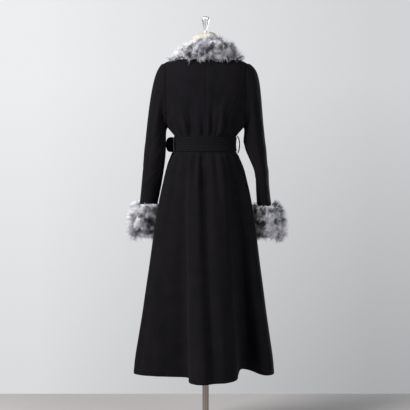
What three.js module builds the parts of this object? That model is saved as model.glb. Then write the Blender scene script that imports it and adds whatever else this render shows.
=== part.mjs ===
// A long belted coat with a fur collar and fur cuffs, standing on a limbless dress form.
// Millimetres, Z up. The coat faces -Y, the wearer's left is +X, and the pole stands on the Z axis.
import * as THREE from "three";

// Heights
const hemHeight = 231;
const waistHeight = 1070;
const armpitHeight = 1130;
const shoulderTipHeight = 1364;
const neckHeight = 1408;
const beltBottom = 1045;
const beltTop = 1096;

// Cloth
const clothWall = 2.2;
const seamGap = 0.3;
const halfSeamGap = seamGap / 2;
const layerGap = 0.6;
const wrap = { depth: 4.6, from: 200, edge: 318, fade: 12, top: 1290, fadeHeight: 60 };

// Skirt before its folds: half sizes of the hem's ellipse
const hemHalfWidth = 258;
const hemHalfDepth = 160;
const hemBackShift = 30;

// Stand
const poleRadius = 11.5;
const poleBottom = 60;
const poleSides = 28;
const baseRadius = 175;
const baseSides = 48;
const torsoBottom = 852;
const torsoMaxSide = 133;
const torsoChestBottom = 1110;
const torsoColumns = 32;
const collarSeamHeight = 1416;
const neckRadius = 49;
const neckSpread = 1;
const neckGap = 0.3;
const capBottom = 1441;
const capTop = 1476;
const capOverhang = 3;
const capLip = 6;
const capSides = 36;
const finialProfile = [
  { radius: 0, z: 1476.3 },
  { radius: 6, z: 1476.3 },
  { radius: 4.6, z: 1481 },
  { radius: 8.5, z: 1500 },
  { radius: 14, z: 1523 },
  { radius: 13.6, z: 1529 },
  { radius: 9, z: 1532.5 },
  { radius: 0, z: 1534 },
];
const finialSides = 24;
// The wire catch that lies over the cap's dome, from its stud out to its tip
const catchWire = { radius: 1.3, gap: 0.4, from: -13, to: -36, steps: 6, along: 8, around: 6 };

// Sections of the bodice: half width, depth behind and in front of the axis, and squareness.
const bodiceSections = [
  { z: 1070, side: 108, back: 86, front: 92, square: 2.1 },
  { z: 1096, side: 110.5, back: 88, front: 95, square: 2.1 },
  { z: 1106, side: 116, back: 90, front: 99, square: 2.15 },
  { z: 1118, side: 126, back: 93, front: 103, square: 2.2 },
  { z: 1130, side: 136, back: 95, front: 107, square: 2.25 },
  { z: 1150, side: 147, back: 99, front: 113, square: 2.3 },
  { z: 1180, side: 154, back: 102, front: 120, square: 2.35 },
  { z: 1225, side: 158, back: 105, front: 124, square: 2.4 },
  { z: 1270, side: 160, back: 103, front: 113, square: 2.4 },
  { z: 1310, side: 160, back: 97, front: 98, square: 2.35 },
  { z: 1340, side: 157.5, back: 88, front: 83, square: 2.25 },
  { z: 1356, side: 153.5, back: 81, front: 73, square: 2.15 },
  { z: 1364, side: 150, back: 77, front: 68, square: 2.1 },
  { z: 1372, side: 133, back: 73, front: 64, square: 2.05 },
  { z: 1380, side: 115, back: 69.5, front: 60, square: 2 },
  { z: 1388, side: 97, back: 66, front: 56, square: 2 },
  { z: 1396, side: 80, back: 62.5, front: 52.5, square: 2 },
  { z: 1403, side: 67, back: 59.5, front: 50, square: 2 },
  { z: 1408, side: 62, back: 57.5, front: 48.5, square: 2 },
];

// How far the skirt has widened from the waist (0) to the hem (1).
const skirtFlare = [
  { z: hemHeight, widen: 1 },
  { z: 283, widen: 0.967 },
  { z: 371, widen: 0.88 },
  { z: 459, widen: 0.79 },
  { z: 546, widen: 0.71 },
  { z: 634, widen: 0.627 },
  { z: 721, widen: 0.55 },
  { z: 867, widen: 0.4 },
  { z: 904, widen: 0.35 },
  { z: 940, widen: 0.29 },
  { z: 977, widen: 0.226 },
  { z: 995, widen: 0.183 },
  { z: 1013, widen: 0.13 },
  { z: 1032, widen: 0.073 },
  { z: 1045, widen: 0.02 },
  { z: 1070, widen: 0 },
];
const foldDeepening = 1.6;

// The hem in plan, a row for each ridge, flank and valley of its folds. The angle is where that
// stretch of cloth leaves the waist, counted from the wearer's left towards the back.
const hemFolds = [
  { angle: 0, x: 264, y: 28, lift: 4 },
  { angle: 14, x: 242, y: 54, lift: 2 },
  { angle: 27, x: 196, y: 74, lift: 2 },
  { angle: 38, x: 130, y: 82, lift: 1 },
  { angle: 45, x: 74, y: 90, lift: 1 },
  { angle: 52, x: 56, y: 122, lift: 1 },
  { angle: 56, x: 60, y: 174, lift: 1 },
  { angle: 63, x: 44, y: 206, lift: 0 },
  { angle: 72, x: 18, y: 219, lift: 0 },
  { angle: 84, x: -10, y: 216, lift: 0 },
  { angle: 96, x: -42, y: 205, lift: 1 },
  { angle: 110, x: -76, y: 184, lift: 0 },
  { angle: 124, x: -104, y: 152, lift: 0 },
  { angle: 134, x: -120, y: 108, lift: 5 },
  { angle: 141, x: -128, y: 36, lift: 18 },
  { angle: 147, x: -150, y: 2, lift: 12 },
  { angle: 155, x: -182, y: 30, lift: 5 },
  { angle: 163, x: -212, y: 54, lift: 1 },
  { angle: 172, x: -241, y: 46, lift: 1 },
  { angle: 181, x: -252, y: 18, lift: 3 },
  { angle: 194, x: -236, y: -32, lift: 2 },
  { angle: 207, x: -192, y: -72, lift: 4 },
  { angle: 220, x: -160, y: -116, lift: 2 },
  { angle: 234, x: -112, y: -146, lift: 0 },
  { angle: 248, x: -62, y: -134, lift: 2 },
  { angle: 262, x: -18, y: -148, lift: 0 },
  { angle: 276, x: 34, y: -160, lift: 0 },
  { angle: 290, x: 82, y: -138, lift: 2 },
  { angle: 303, x: 116, y: -106, lift: 5 },
  { angle: 317, x: 166, y: -110, lift: 1 },
  { angle: 331, x: 210, y: -74, lift: 2 },
  { angle: 346, x: 250, y: -24, lift: 3 },
];

// Gathers that the belt pulls in: where, how wide, and how far out above and below the belt.
const beltGathers = [
  { angle: 28, width: 8, above: -3, below: 3 },
  { angle: 46, width: 6, above: 5, below: 4 },
  { angle: 61, width: 6, above: -4, below: -4 },
  { angle: 71, width: 6, above: 4, below: 0 },
  { angle: 88, width: 9, above: -2, below: -5 },
  { angle: 106, width: 7, above: -4, below: -1 },
  { angle: 119, width: 5, above: 6, below: 2 },
  { angle: 131, width: 8, above: 0, below: 5 },
  { angle: 147, width: 7, above: -4, below: -5 },
  { angle: 205, width: 8, above: 4, below: 4 },
  { angle: 226, width: 7, above: -4, below: -4 },
  { angle: 252, width: 8, above: 3, below: 4 },
  { angle: 284, width: 8, above: -3, below: -4 },
  { angle: 318, width: 8, above: 4, below: 3 },
  { angle: 338, width: 7, above: -3, below: -3 },
];
const gatherRise = 24;
const gatherAbove = 130;
const gatherBelow = 210;

// Seams, as angles round the body that change with height.
const princessSeamLeft = [
  { z: 1070, angle: 52 },
  { z: 1106, angle: 54 },
  { z: 1160, angle: 52.5 },
  { z: 1215, angle: 48 },
  { z: 1283, angle: 34 },
  { z: 1310, angle: 20.4 },
];
const princessSeamRight = [
  { z: 1070, angle: 138 },
  { z: 1106, angle: 135 },
  { z: 1127, angle: 133 },
  { z: 1170, angle: 133.6 },
  { z: 1232, angle: 143.4 },
  { z: 1283, angle: 154 },
  { z: 1310, angle: 159.6 },
];
const princessTop = 1310;
const frontEdgeRight = [
  { z: 1070, angle: 298 },
  { z: 1096, angle: 296 },
  { z: 1140, angle: 285 },
  { z: 1190, angle: 272 },
  { z: 1250, angle: 260 },
  { z: 1300, angle: 250 },
  { z: 1340, angle: 239 },
  { z: 1364, angle: 228 },
  { z: 1380, angle: 219 },
  { z: 1396, angle: 206 },
  { z: 1408, angle: 195 },
];
const armholeHalfAngle = { back: 22, front: 24 };
const armholeShape = { along: 3, across: 2.2 };

// Heights of the rows of points in the body's panels.
const skirtRows = [hemHeight, 305, 385, 460, 540, 620, 700, 780, 850, 905, 960, 1005, 1030];
const waistRows = [1044, 1070, 1097, 1112];
const armholeRows = [1130, 1137, 1152, 1180, 1215, 1255, 1290, 1305, 1310, 1335, 1352, 1364];
const shoulderRows = [1372, 1381, 1390, 1399, 1408];
const bodyRows = [...skirtRows, ...waistRows, ...armholeRows, ...shoulderRows];
const widestColumn = 0.2;
const columnMargin = 2;

// Sleeves below the armhole: inner and outer edge seen from behind, centre and half depth in Y.
const sleeveSections = {
  left: [
    { z: 1080, inner: 144, outer: 220, centre: -6, depth: 58 },
    { z: 1050, inner: 145, outer: 224, centre: -7, depth: 57 },
    { z: 1013, inner: 148, outer: 227, centre: -9, depth: 56 },
    { z: 977, inner: 153, outer: 231, centre: -14, depth: 55 },
    { z: 940, inner: 159, outer: 234, centre: -22, depth: 54 },
    { z: 900, inner: 167, outer: 238, centre: -32, depth: 53 },
    { z: 850, inner: 178, outer: 244, centre: -45, depth: 51 },
    { z: 795, inner: 191, outer: 251, centre: -57, depth: 49 },
    { z: 742, inner: 202, outer: 258, centre: -66, depth: 48 },
  ],
  right: [
    { z: 1080, inner: 138, outer: 218, centre: -6, depth: 58 },
    { z: 1050, inner: 146, outer: 222, centre: -7, depth: 57 },
    { z: 1013, inner: 162, outer: 225, centre: -10, depth: 57 },
    { z: 977, inner: 177, outer: 229, centre: -16, depth: 56 },
    { z: 940, inner: 184, outer: 232, centre: -24, depth: 55 },
    { z: 900, inner: 186, outer: 236, centre: -33, depth: 54 },
    { z: 850, inner: 190, outer: 243, centre: -45, depth: 52 },
    { z: 795, inner: 198, outer: 253, centre: -57, depth: 50 },
    { z: 742, inner: 208, outer: 263, centre: -66, depth: 49 },
  ],
};
const sleeveCapSteps = [0.1, 0.22, 0.36, 0.52, 0.7, 0.86, 1];
const sleeveCapHandles = {
  left: { armpitOut: 9, tipOut: 38, armpitUp: 22, tipUp: 172, lean: 0.1 },
  right: { armpitOut: 9, tipOut: 62, armpitUp: 22, tipUp: 172, lean: 0.13 },
};
const sleeveCapSpread = 0.35;
const underSleeveShare = 0.3;

// Fur collar, a row for each section from the centre back to one front end: where its inner and
// outer edges lie on the coat, how high it stands over the inner edge, and its thickness.
const collarSections = [
  { along: 0, innerAngle: 90, innerZ: 1407, outerAngle: 90, outerZ: 1373, stand: 41, thick: 1 },
  { along: 0.14, innerAngle: 62, innerZ: 1407, outerAngle: 60, outerZ: 1373, stand: 38, thick: 0.92 },
  { along: 0.26, innerAngle: 32, innerZ: 1406, outerAngle: 30, outerZ: 1374, stand: 29, thick: 0.7 },
  { along: 0.36, innerAngle: 4, innerZ: 1405, outerAngle: 2, outerZ: 1377, stand: 18, thick: 0.55 },
  { along: 0.46, innerAngle: -13, innerZ: 1403, outerAngle: -22, outerZ: 1371, stand: 14, thick: 0.6 },
  { along: 0.56, innerAngle: -30, innerZ: 1388, outerAngle: -34, outerZ: 1340, stand: 9, thick: 0.8 },
  { along: 0.68, innerAngle: -50, innerZ: 1352, outerAngle: -38, outerZ: 1300, stand: 6, thick: 0.9 },
  { along: 0.82, innerAngle: -68, innerZ: 1300, outerAngle: -44, outerZ: 1245, stand: 2, thick: 0.9 },
  { along: 0.94, innerAngle: -82, innerZ: 1240, outerAngle: -56, outerZ: 1196, stand: 0, thick: 0.8 },
  { along: 1, innerAngle: -84, innerZ: 1214, outerAngle: -66, outerZ: 1180, stand: 0, thick: 0.45 },
];
// The collar's outside: share of the way from its inner to its outer edge, distance out, and rise.
const collarProfile = [
  { across: 0, out: 3, rise: 0.45 },
  { across: 0, out: 8, rise: 0.9 },
  { across: 0.12, out: 20, rise: 1.06 },
  { across: 0.32, out: 33, rise: 0.9 },
  { across: 0.58, out: 38, rise: 0.5 },
  { across: 0.82, out: 34, rise: 0.18 },
  { across: 1, out: 24, rise: 0 },
  { across: 1.1, out: 9, rise: -0.06 },
];
const collarUnderside = [1, 0.75, 0.5, 0.25, 0];
const collarSeat = 2.2;
const collarSteps = 20;

// Fur cuffs: how they swell down their length, their half sizes, and their shift from the sleeve.
const cuffProfile = [
  { down: 0, swell: 0.8 },
  { down: 0.12, swell: 0.93 },
  { down: 0.35, swell: 1 },
  { down: 0.65, swell: 1 },
  { down: 0.88, swell: 0.93 },
  { down: 1, swell: 0.8 },
];
const cuffs = {
  left: { top: 862, bottom: 719, outwards: 6, halfWidth: 58, halfDepth: 66 },
  right: { top: 855, bottom: 718, outwards: 10, halfWidth: 61, halfDepth: 66 },
};
const cuffSides = 24;
const cuffSeat = 2.1;

// Belt, knot and loops
const beltWall = 3;
const beltColumns = 48;
const knotAngle = 346;
const knotHalf = { out: 18.5, along: 26, up: 26 };
const knotGap = 0.4;
const knotFacets = { around: 16, over: 10 };
const beltEnds = {
  belt_end_long: { topAngle: 331, bottomAngle: 315, bottom: 640, width: 48, over: 1.9 },
  belt_end_short: { topAngle: 341, bottomAngle: 324, bottom: 735, width: 48, over: 6.3 },
};
const endRows = 9;
const endColumns = 5;
const endDrop = 3;
const loopRadius = 1.5;
const loopHalfHeight = 33;
const loopShares = [-1, -0.8, 0, 0.8, 1];
const loopClearance = 0.6;
const loopSeat = 0.5;
const loopFacets = { along: 10, around: 5 };
const beltLoops = {
  belt_loop_left: { angle: 14, stand: 6 },
  belt_loop_right: { angle: 181, stand: 9 },
};

// Inset of the form from the coat's outer face, close on the shoulders and looser below.
const formInset = [
  { z: 852, inset: 0 },
  { z: 1070, inset: 9 },
  { z: 1200, inset: 10 },
  { z: 1300, inset: 8 },
  { z: 1364, inset: 8 },
  { z: 1390, inset: 7 },
  { z: 1399, inset: 5.4 },
  { z: 1408, inset: 3.7 },
];
const formHips = [
  { z: 852, side: 92, back: 66, front: 66 },
  { z: 866, side: 110, back: 78, front: 76 },
  { z: 900, side: 122, back: 86, front: 82 },
  { z: 960, side: 116, back: 86, front: 82 },
  { z: 1020, side: 101, back: 78, front: 80 },
  { z: 1070, side: 99, back: 77, front: 80 },
];

const capSteps = [0, 0.25, 0.5, 0.75, 1];
const baseProfile = [
  { radius: 0, z: 0 },
  { radius: baseRadius - 2, z: 0 },
  { radius: baseRadius, z: 2 },
  { radius: baseRadius, z: 6 },
  { radius: baseRadius - 4, z: 9 },
  { radius: 70, z: 14 },
  { radius: 28, z: 20 },
  { radius: 22, z: 28 },
  { radius: 20, z: poleBottom },
  { radius: 0, z: poleBottom },
];

const wool = { color: 0x1c1a1e, roughness: 0.92, metalness: 0 };
const fur = { color: 0xb5b4bb, roughness: 0.95, metalness: 0 };
const creamJersey = { color: 0xd6d2c6, roughness: 0.85, metalness: 0 };
const steel = { color: 0x8f8880, roughness: 0.35, metalness: 1 };
const darkSteel = { color: 0x3a3836, roughness: 0.4, metalness: 1 };

const object = new THREE.Group();
const degree = Math.PI / 180;
const clamp01 = (value) => Math.min(1, Math.max(0, value));
const smoothStep = (value) => clamp01(value) ** 2 * (3 - 2 * clamp01(value));
const vec = (x, y, z) => new THREE.Vector3(x, y, z);

function addPiece(name, geometry, finish) {
  const mesh = new THREE.Mesh(geometry, new THREE.MeshStandardMaterial(finish));
  mesh.name = name;
  object.add(mesh);
}

// Reads a column of a table between its rows, along a curve that never overshoots them.
function read(rows, key, column, at) {
  const last = rows.length - 1;
  if (at <= rows[0][key]) return rows[0][column];
  if (at >= rows[last][key]) return rows[last][column];
  let i = 0;
  while (at > rows[i + 1][key]) i += 1;
  const grade = (k) => (rows[k + 1][column] - rows[k][column]) / (rows[k + 1][key] - rows[k][key]);
  const slope = (k) => {
    if (k === 0) return grade(0);
    if (k === last) return grade(last - 1);
    const before = grade(k - 1);
    const after = grade(k);
    return before * after > 0 ? (2 * before * after) / (before + after) : 0;
  };
  const width = rows[i + 1][key] - rows[i][key];
  const t = (at - rows[i][key]) / width;
  const rise = rows[i + 1][column] - rows[i][column];
  const startPull = width * slope(i);
  const endPull = width * slope(i + 1);
  return (
    rows[i][column] +
    startPull * t +
    (3 * rise - 2 * startPull - endPull) * t * t +
    (startPull + endPull - 2 * rise) * t ** 3
  );
}

// Reads the hem table round its closed loop.
function readHem(column, angle) {
  const count = hemFolds.length;
  const row = (k) => hemFolds[((k % count) + count) % count];
  const angleOf = (k) => row(k).angle + 360 * Math.floor(k / count);
  const at = ((angle % 360) + 360) % 360;
  let i = count - 1;
  while (hemFolds[i].angle > at) i -= 1;
  const slope = (k) => (row(k + 1)[column] - row(k - 1)[column]) / (angleOf(k + 1) - angleOf(k - 1));
  const width = angleOf(i + 1) - angleOf(i);
  const t = (at - angleOf(i)) / width;
  const rise = row(i + 1)[column] - row(i)[column];
  const startPull = width * slope(i);
  const endPull = width * slope(i + 1);
  return (
    row(i)[column] +
    startPull * t +
    (3 * rise - 2 * startPull - endPull) * t * t +
    (startPull + endPull - 2 * rise) * t ** 3
  );
}

// A point of a section with the given half sizes, in the direction of an angle.
function sectionPoint(angle, side, back, front, square) {
  const c = Math.cos(angle * degree);
  const s = Math.sin(angle * degree);
  const depth = s > 0 ? back : front;
  const reach = (Math.abs(c / side) ** square + Math.abs(s / depth) ** square) ** (-1 / square);
  return vec(reach * c, reach * s, 0);
}

function bodiceRing(angle, z) {
  const sizes = ["side", "back", "front", "square"].map((column) => read(bodiceSections, "z", column, z));
  return sectionPoint(angle, ...sizes);
}

// How much of a belt gather shows at a height: none under the belt, most a little above or below.
function gatherShare(distance, reach) {
  return smoothStep(distance / gatherRise) * (1 - smoothStep((distance - gatherRise) / reach));
}

function gatherAt(angle, z) {
  let out = 0;
  for (const gather of beltGathers) {
    const away = ((((angle - gather.angle) % 360) + 540) % 360) - 180;
    const amount = Math.exp(-((away / gather.width) ** 2));
    out += gather.above * amount * gatherShare(z - beltTop, gatherAbove);
    out += gather.below * amount * gatherShare(beltBottom - z, gatherBelow);
  }
  return out;
}

// The left front lies under the right one where they cross.
function wrapInset(angle, z) {
  const at = ((angle % 360) + 360) % 360;
  if (at < wrap.from) return 0;
  return wrap.depth * smoothStep((wrap.edge - at) / wrap.fade) * smoothStep((wrap.top - z) / wrap.fadeHeight);
}

// The coat's outer surface at an angle round the body and a height.
function coatPoint(angle, z, under = false) {
  const upper = Math.max(z, waistHeight);
  const point = bodiceRing(angle, upper);
  const widen = read(skirtFlare, "z", "widen", z);
  const deepen = widen ** foldDeepening;
  if (widen > 0) {
    const plain = sectionPoint(angle, hemHalfWidth, hemHalfDepth, hemHalfDepth, 2);
    plain.y += hemBackShift;
    point.x += widen * (plain.x - point.x) + deepen * (readHem("x", angle) - plain.x);
    point.y += widen * (plain.y - point.y) + deepen * (readHem("y", angle) - plain.y);
  }
  const out = gatherAt(angle, z) - (under ? wrapInset(angle, z) : 0);
  point.x += out * Math.cos(angle * degree);
  point.y += out * Math.sin(angle * degree);
  point.z = z + deepen * readHem("lift", angle);
  return point;
}

function coatNormal(angle, z, under = false) {
  const turn = 0.4;
  const rise = 1.5;
  const lower = Math.max(hemHeight, z - rise);
  const upper = Math.min(neckHeight, z + rise);
  const round = coatPoint(angle + turn, z, under).sub(coatPoint(angle - turn, z, under));
  const up = coatPoint(angle, upper, under).sub(coatPoint(angle, lower, under));
  return round.cross(up).normalize();
}

function coatOffset(angle, z, distance, under = false) {
  return coatPoint(angle, z, under).addScaledVector(coatNormal(angle, z, under), distance);
}

// The turn, in degrees, that moves a point this far round the body.
function turnFor(angle, z, distance) {
  const step = 0.5;
  const length = coatPoint(angle + step / 2, z).distanceTo(coatPoint(angle - step / 2, z));
  return (distance * step) / length;
}

function geometryOf(points, faces) {
  const geometry = new THREE.BufferGeometry();
  const position = points.flatMap((p) => [p.x, p.y, p.z]);
  geometry.setAttribute("position", new THREE.Float32BufferAttribute(position, 3));
  geometry.setIndex(faces);
  geometry.computeVertexNormals();
  return geometry;
}

// A wall between an outer and an inner grid of points. Rows go up where columns go anticlockwise,
// or the other way for both. With closed, the last column joins the first.
function wallGeometry(outer, inner, closed = false) {
  const rows = outer.length;
  const columns = outer[0].length;
  const points = [...outer.flat(), ...inner.flat()];
  const faces = [];
  const out = (r, c) => r * columns + (c % columns);
  const inn = (r, c) => rows * columns + out(r, c);
  const quad = (a, b, c, d) => faces.push(a, b, c, a, c, d);
  const spans = closed ? columns : columns - 1;
  for (let r = 0; r < rows - 1; r += 1) {
    for (let c = 0; c < spans; c += 1) {
      quad(out(r, c), out(r, c + 1), out(r + 1, c + 1), out(r + 1, c));
      quad(inn(r, c), inn(r + 1, c), inn(r + 1, c + 1), inn(r, c + 1));
    }
    if (!closed) {
      quad(out(r + 1, 0), inn(r + 1, 0), inn(r, 0), out(r, 0));
      quad(out(r + 1, spans), out(r, spans), inn(r, spans), inn(r + 1, spans));
    }
  }
  for (let c = 0; c < spans; c += 1) {
    quad(out(0, c + 1), out(0, c), inn(0, c), inn(0, c + 1));
    quad(out(rows - 1, c), out(rows - 1, c + 1), inn(rows - 1, c + 1), inn(rows - 1, c));
  }
  return geometryOf(points, faces);
}

// A solid through closed rings of points, each end closed over its middle.
function ringSolid(rings) {
  const columns = rings[0].length;
  const points = rings.flat();
  const faces = [];
  const at = (r, c) => r * columns + (c % columns);
  for (let r = 0; r < rings.length - 1; r += 1) {
    for (let c = 0; c < columns; c += 1) {
      faces.push(at(r, c), at(r, c + 1), at(r + 1, c + 1), at(r, c), at(r + 1, c + 1), at(r + 1, c));
    }
  }
  const middle = (ring) => ring.reduce((sum, p) => sum.add(p), vec(0, 0, 0)).divideScalar(columns);
  const low = points.length;
  points.push(middle(rings[0]), middle(rings[rings.length - 1]));
  for (let c = 0; c < columns; c += 1) {
    faces.push(at(0, c + 1), at(0, c), low);
    faces.push(at(rings.length - 1, c), at(rings.length - 1, c + 1), low + 1);
  }
  return geometryOf(points, faces);
}

// Half the armhole's width at a height, as an angle from the side seam.
function armholeAngle(z, part) {
  const t = (z - armpitHeight) / (shoulderTipHeight - armpitHeight);
  if (t <= 0 || t >= 1) return 0;
  const shape = (1 - Math.abs(2 * t - 1) ** armholeShape.along) ** (1 / armholeShape.across);
  return armholeHalfAngle[part] * shape;
}

// Shares of a panel's width for its columns: the folds' own angles, and one between far ones.
function columnShares(from, to) {
  const low = Math.min(from, to);
  const high = Math.max(from, to);
  const isInside = (a) => a > low + columnMargin && a < high - columnMargin;
  const inside = hemFolds.map((fold) => fold.angle).filter(isInside);
  const marks = [low, ...inside, high];
  const widest = (high - low) * widestColumn;
  const angles = marks.flatMap((a, i) => {
    const isFar = i > 0 && a - marks[i - 1] > widest;
    return isFar ? [(a + marks[i - 1]) / 2, a] : [a];
  });
  const shares = angles.map((a) => (a - low) / (high - low));
  return from < to ? shares : shares.map((share) => 1 - share).reverse();
}

// A panel between two edges, which are angles that change with height.
function panelGeometry(fromEdge, toEdge, rows, under = false) {
  const shares = columnShares(fromEdge(hemHeight), toEdge(hemHeight));
  const grid = (distance) =>
    rows.map((z) => {
      const from = fromEdge(z);
      const to = toEdge(z);
      return shares.map((share) => coatOffset(from + share * (to - from), z, distance, under));
    });
  return wallGeometry(grid(0), grid(-clothWall));
}

const halfSeam = (angle, z) => turnFor(angle, z, halfSeamGap);
const seamAfter = (angleAt) => (z) => angleAt(z) + halfSeam(angleAt(z), z);
const seamBefore = (angleAt) => (z) => angleAt(z) - halfSeam(angleAt(z), z);

function addBody() {
  const centreBack = () => 90;
  const princess = { left: (z) => read(princessSeamLeft, "z", "angle", z) };
  princess.right = (z) => read(princessSeamRight, "z", "angle", z);
  const sideEdge = (z, part, base, turn) => {
    const inArmhole = z > armpitHeight && z < shoulderTipHeight;
    return base + turn * (inArmhole ? armholeAngle(z, part) : halfSeam(base, z));
  };
  const leftBackLimit = (z) => {
    return z < princessTop ? seamAfter(princess.left)(z) : sideEdge(z, "back", 0, 1);
  };
  const rightBackLimit = (z) => {
    return z < princessTop ? seamBefore(princess.right)(z) : sideEdge(z, "back", 180, -1);
  };
  const sideRows = bodyRows.filter((z) => z < princessTop);
  const rightFrontEdge = (z) => read(frontEdgeRight, "z", "angle", z);
  const leftFrontEdge = (z) => 540 - rightFrontEdge(z);
  const panels = {
    back_centre_left: [leftBackLimit, seamBefore(centreBack), bodyRows],
    back_centre_right: [seamAfter(centreBack), rightBackLimit, bodyRows],
    back_side_left: [(z) => sideEdge(z, "back", 0, 1), seamBefore(princess.left), sideRows],
    back_side_right: [seamAfter(princess.right), (z) => sideEdge(z, "back", 180, -1), sideRows],
    front_right: [(z) => sideEdge(z, "front", 180, 1), rightFrontEdge, bodyRows],
    front_left: [leftFrontEdge, (z) => sideEdge(z, "front", 360, -1), bodyRows, true],
  };
  for (const [name, [from, to, rows, under]] of Object.entries(panels)) {
    addPiece(name, panelGeometry(from, to, rows, under), wool);
  }
}

// The armhole's edge as a ring of points on the coat, from the armpit up the one side and down
// the other, so that the arm's direction crossed with the normal always points along the ring.
function armholeRing(arm) {
  const inside = armholeRows.filter((z) => z > armpitHeight && z < shoulderTipHeight);
  const climb = arm === "left" ? "back" : "front";
  const angleAt = (z, part) => {
    const half = armholeAngle(z, part);
    const turn = part === "back" ? half : -half;
    return arm === "left" ? turn : 180 - turn;
  };
  const ring = [{ angle: angleAt(armpitHeight, climb), z: armpitHeight }];
  inside.forEach((z) => ring.push({ angle: angleAt(z, climb), z }));
  ring.push({ angle: angleAt(shoulderTipHeight, climb), z: shoulderTipHeight });
  const descend = climb === "back" ? "front" : "back";
  [...inside].reverse().forEach((z) => ring.push({ angle: angleAt(z, descend), z }));
  return ring;
}

function sleeveSectionPoint(arm, z, around) {
  const [inner, outer, centre, depth] = ["inner", "outer", "centre", "depth"].map((column) =>
    read([...sleeveSections[arm]].reverse(), "z", column, z),
  );
  const side = arm === "left" ? 1 : -1;
  const x = (inner + outer) / 2 + ((outer - inner) / 2) * Math.cos(around);
  return vec(side * x, centre + side * depth * Math.sin(around), z);
}

// The sleeve's outer surface as rows of points, from the armhole's edge down to the wrist.
function sleeveRows(arm) {
  const outwards = vec(arm === "left" ? 1 : -1, 0, 0);
  const ring = armholeRing(arm);
  const count = ring.length;
  const edge = ring.map(({ angle, z }) => coatPoint(angle, z));
  const normals = ring.map(({ angle, z }) => coatNormal(angle, z));
  const into = edge.map((p, k) => {
    const along = edge[(k + 1) % count].clone().sub(edge[(k + count - 1) % count]);
    return normals[k].clone().cross(along).normalize();
  });
  const lengths = [0];
  edge.forEach((p, k) => lengths.push(lengths[k] + p.distanceTo(edge[(k + 1) % count])));
  const tip = count / 2;
  const half = (k) => {
    if (k <= tip) return lengths[k] / lengths[tip];
    return 1 + (lengths[k] - lengths[tip]) / (lengths[count] - lengths[tip]);
  };
  const around = edge.map((p, k) => Math.PI * (1 - half(k)));
  const first = sleeveSections[arm][0].z;
  const start = edge.map((p, k) => p.clone().addScaledVector(into[k], seamGap));
  const { armpitOut, tipOut, armpitUp, tipUp, lean } = sleeveCapHandles[arm];
  const capRows = sleeveCapSteps.map((t) =>
    start.map((p, k) => {
      const height = 1 - Math.abs(1 - half(k));
      const end = sleeveSectionPoint(arm, first, around[k]);
      const out = outwards.clone().addScaledVector(into[k], sleeveCapSpread).normalize();
      const leave = p.clone().addScaledVector(out, armpitOut + height * (tipOut - armpitOut));
      const up = vec(-outwards.x * lean * height, 0, 1);
      const arrive = end.clone().addScaledVector(up, armpitUp + height * (tipUp - armpitUp));
      return new THREE.CubicBezierCurve3(p, leave, arrive, end).getPoint(t);
    }),
  );
  const lowerSections = sleeveSections[arm].slice(1);
  const armRows = lowerSections.map(({ z }) => around.map((turn) => sleeveSectionPoint(arm, z, turn)));
  return { rows: [start, ...capRows, ...armRows], startNormals: normals };
}

function sleeveNormals(rows, startNormals) {
  const count = rows[0].length;
  return rows.map((row, r) =>
    row.map((p, c) => {
      if (r === 0) return startNormals[c];
      const round = row[(c + 1) % count].clone().sub(row[(c + count - 1) % count]);
      const below = rows[Math.min(r + 1, rows.length - 1)][c];
      const down = below.clone().sub(rows[r - 1][c]);
      return round.cross(down).normalize();
    }),
  );
}

function addSleeves() {
  for (const arm of ["left", "right"]) {
    const { rows, startNormals } = sleeveRows(arm);
    const normals = sleeveNormals(rows, startNormals);
    const inwards = (p, r, c) => p.clone().addScaledVector(normals[r][c], -clothWall);
    const inner = rows.map((row, r) => row.map((p, c) => inwards(p, r, c)));
    const count = rows[0].length;
    const reach = Math.round((underSleeveShare * count) / 2);
    const columns = (from, to) => Array.from({ length: to - from + 1 }, (_, k) => (from + k + count) % count);
    const pieces = { under_sleeve: columns(-reach, reach), top_sleeve: columns(reach, count - reach) };
    for (const [name, picked] of Object.entries(pieces)) {
      const trim = (grid) =>
        grid.map((row) => {
          const points = picked.map((c) => row[c].clone());
          const last = points.length - 1;
          const startStep = points[1].clone().sub(points[0]).setLength(halfSeamGap);
          const endStep = points[last - 1].clone().sub(points[last]).setLength(halfSeamGap);
          points[0].add(startStep);
          points[last].add(endStep);
          return points;
        });
      addPiece(`${name}_${arm}`, wallGeometry(trim(rows), trim(inner)), wool);
    }
  }
}

// One closed section of the fur collar. The far half mirrors the near one.
function collarRing(along) {
  const near = Math.abs(along);
  const size = (column) => read(collarSections, "along", column, near);
  const [innerAngle, innerZ] = [size("innerAngle"), size("innerZ")];
  const [outerAngle, outerZ] = [size("outerAngle"), size("outerZ")];
  const place = (across) => {
    const angle = innerAngle + across * (outerAngle - innerAngle);
    const z = innerZ + across * (outerZ - innerZ);
    return { angle: along < 0 ? 180 - angle : angle, z };
  };
  const top = collarProfile.map(({ across, out, rise }) => {
    const { angle, z } = place(across);
    const point = coatOffset(angle, z, out * size("thick"));
    point.z += rise * size("stand");
    return point;
  });
  const underside = collarUnderside.map((across) => {
    const { angle, z } = place(across);
    return coatOffset(angle, z, collarSeat);
  });
  return [...top, ...underside];
}

function addCollar() {
  const rings = [];
  for (let step = collarSteps; step >= -collarSteps; step -= 1) {
    rings.push(collarRing(step / collarSteps));
  }
  addPiece("fur_collar", ringSolid(rings), fur);
}

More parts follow.
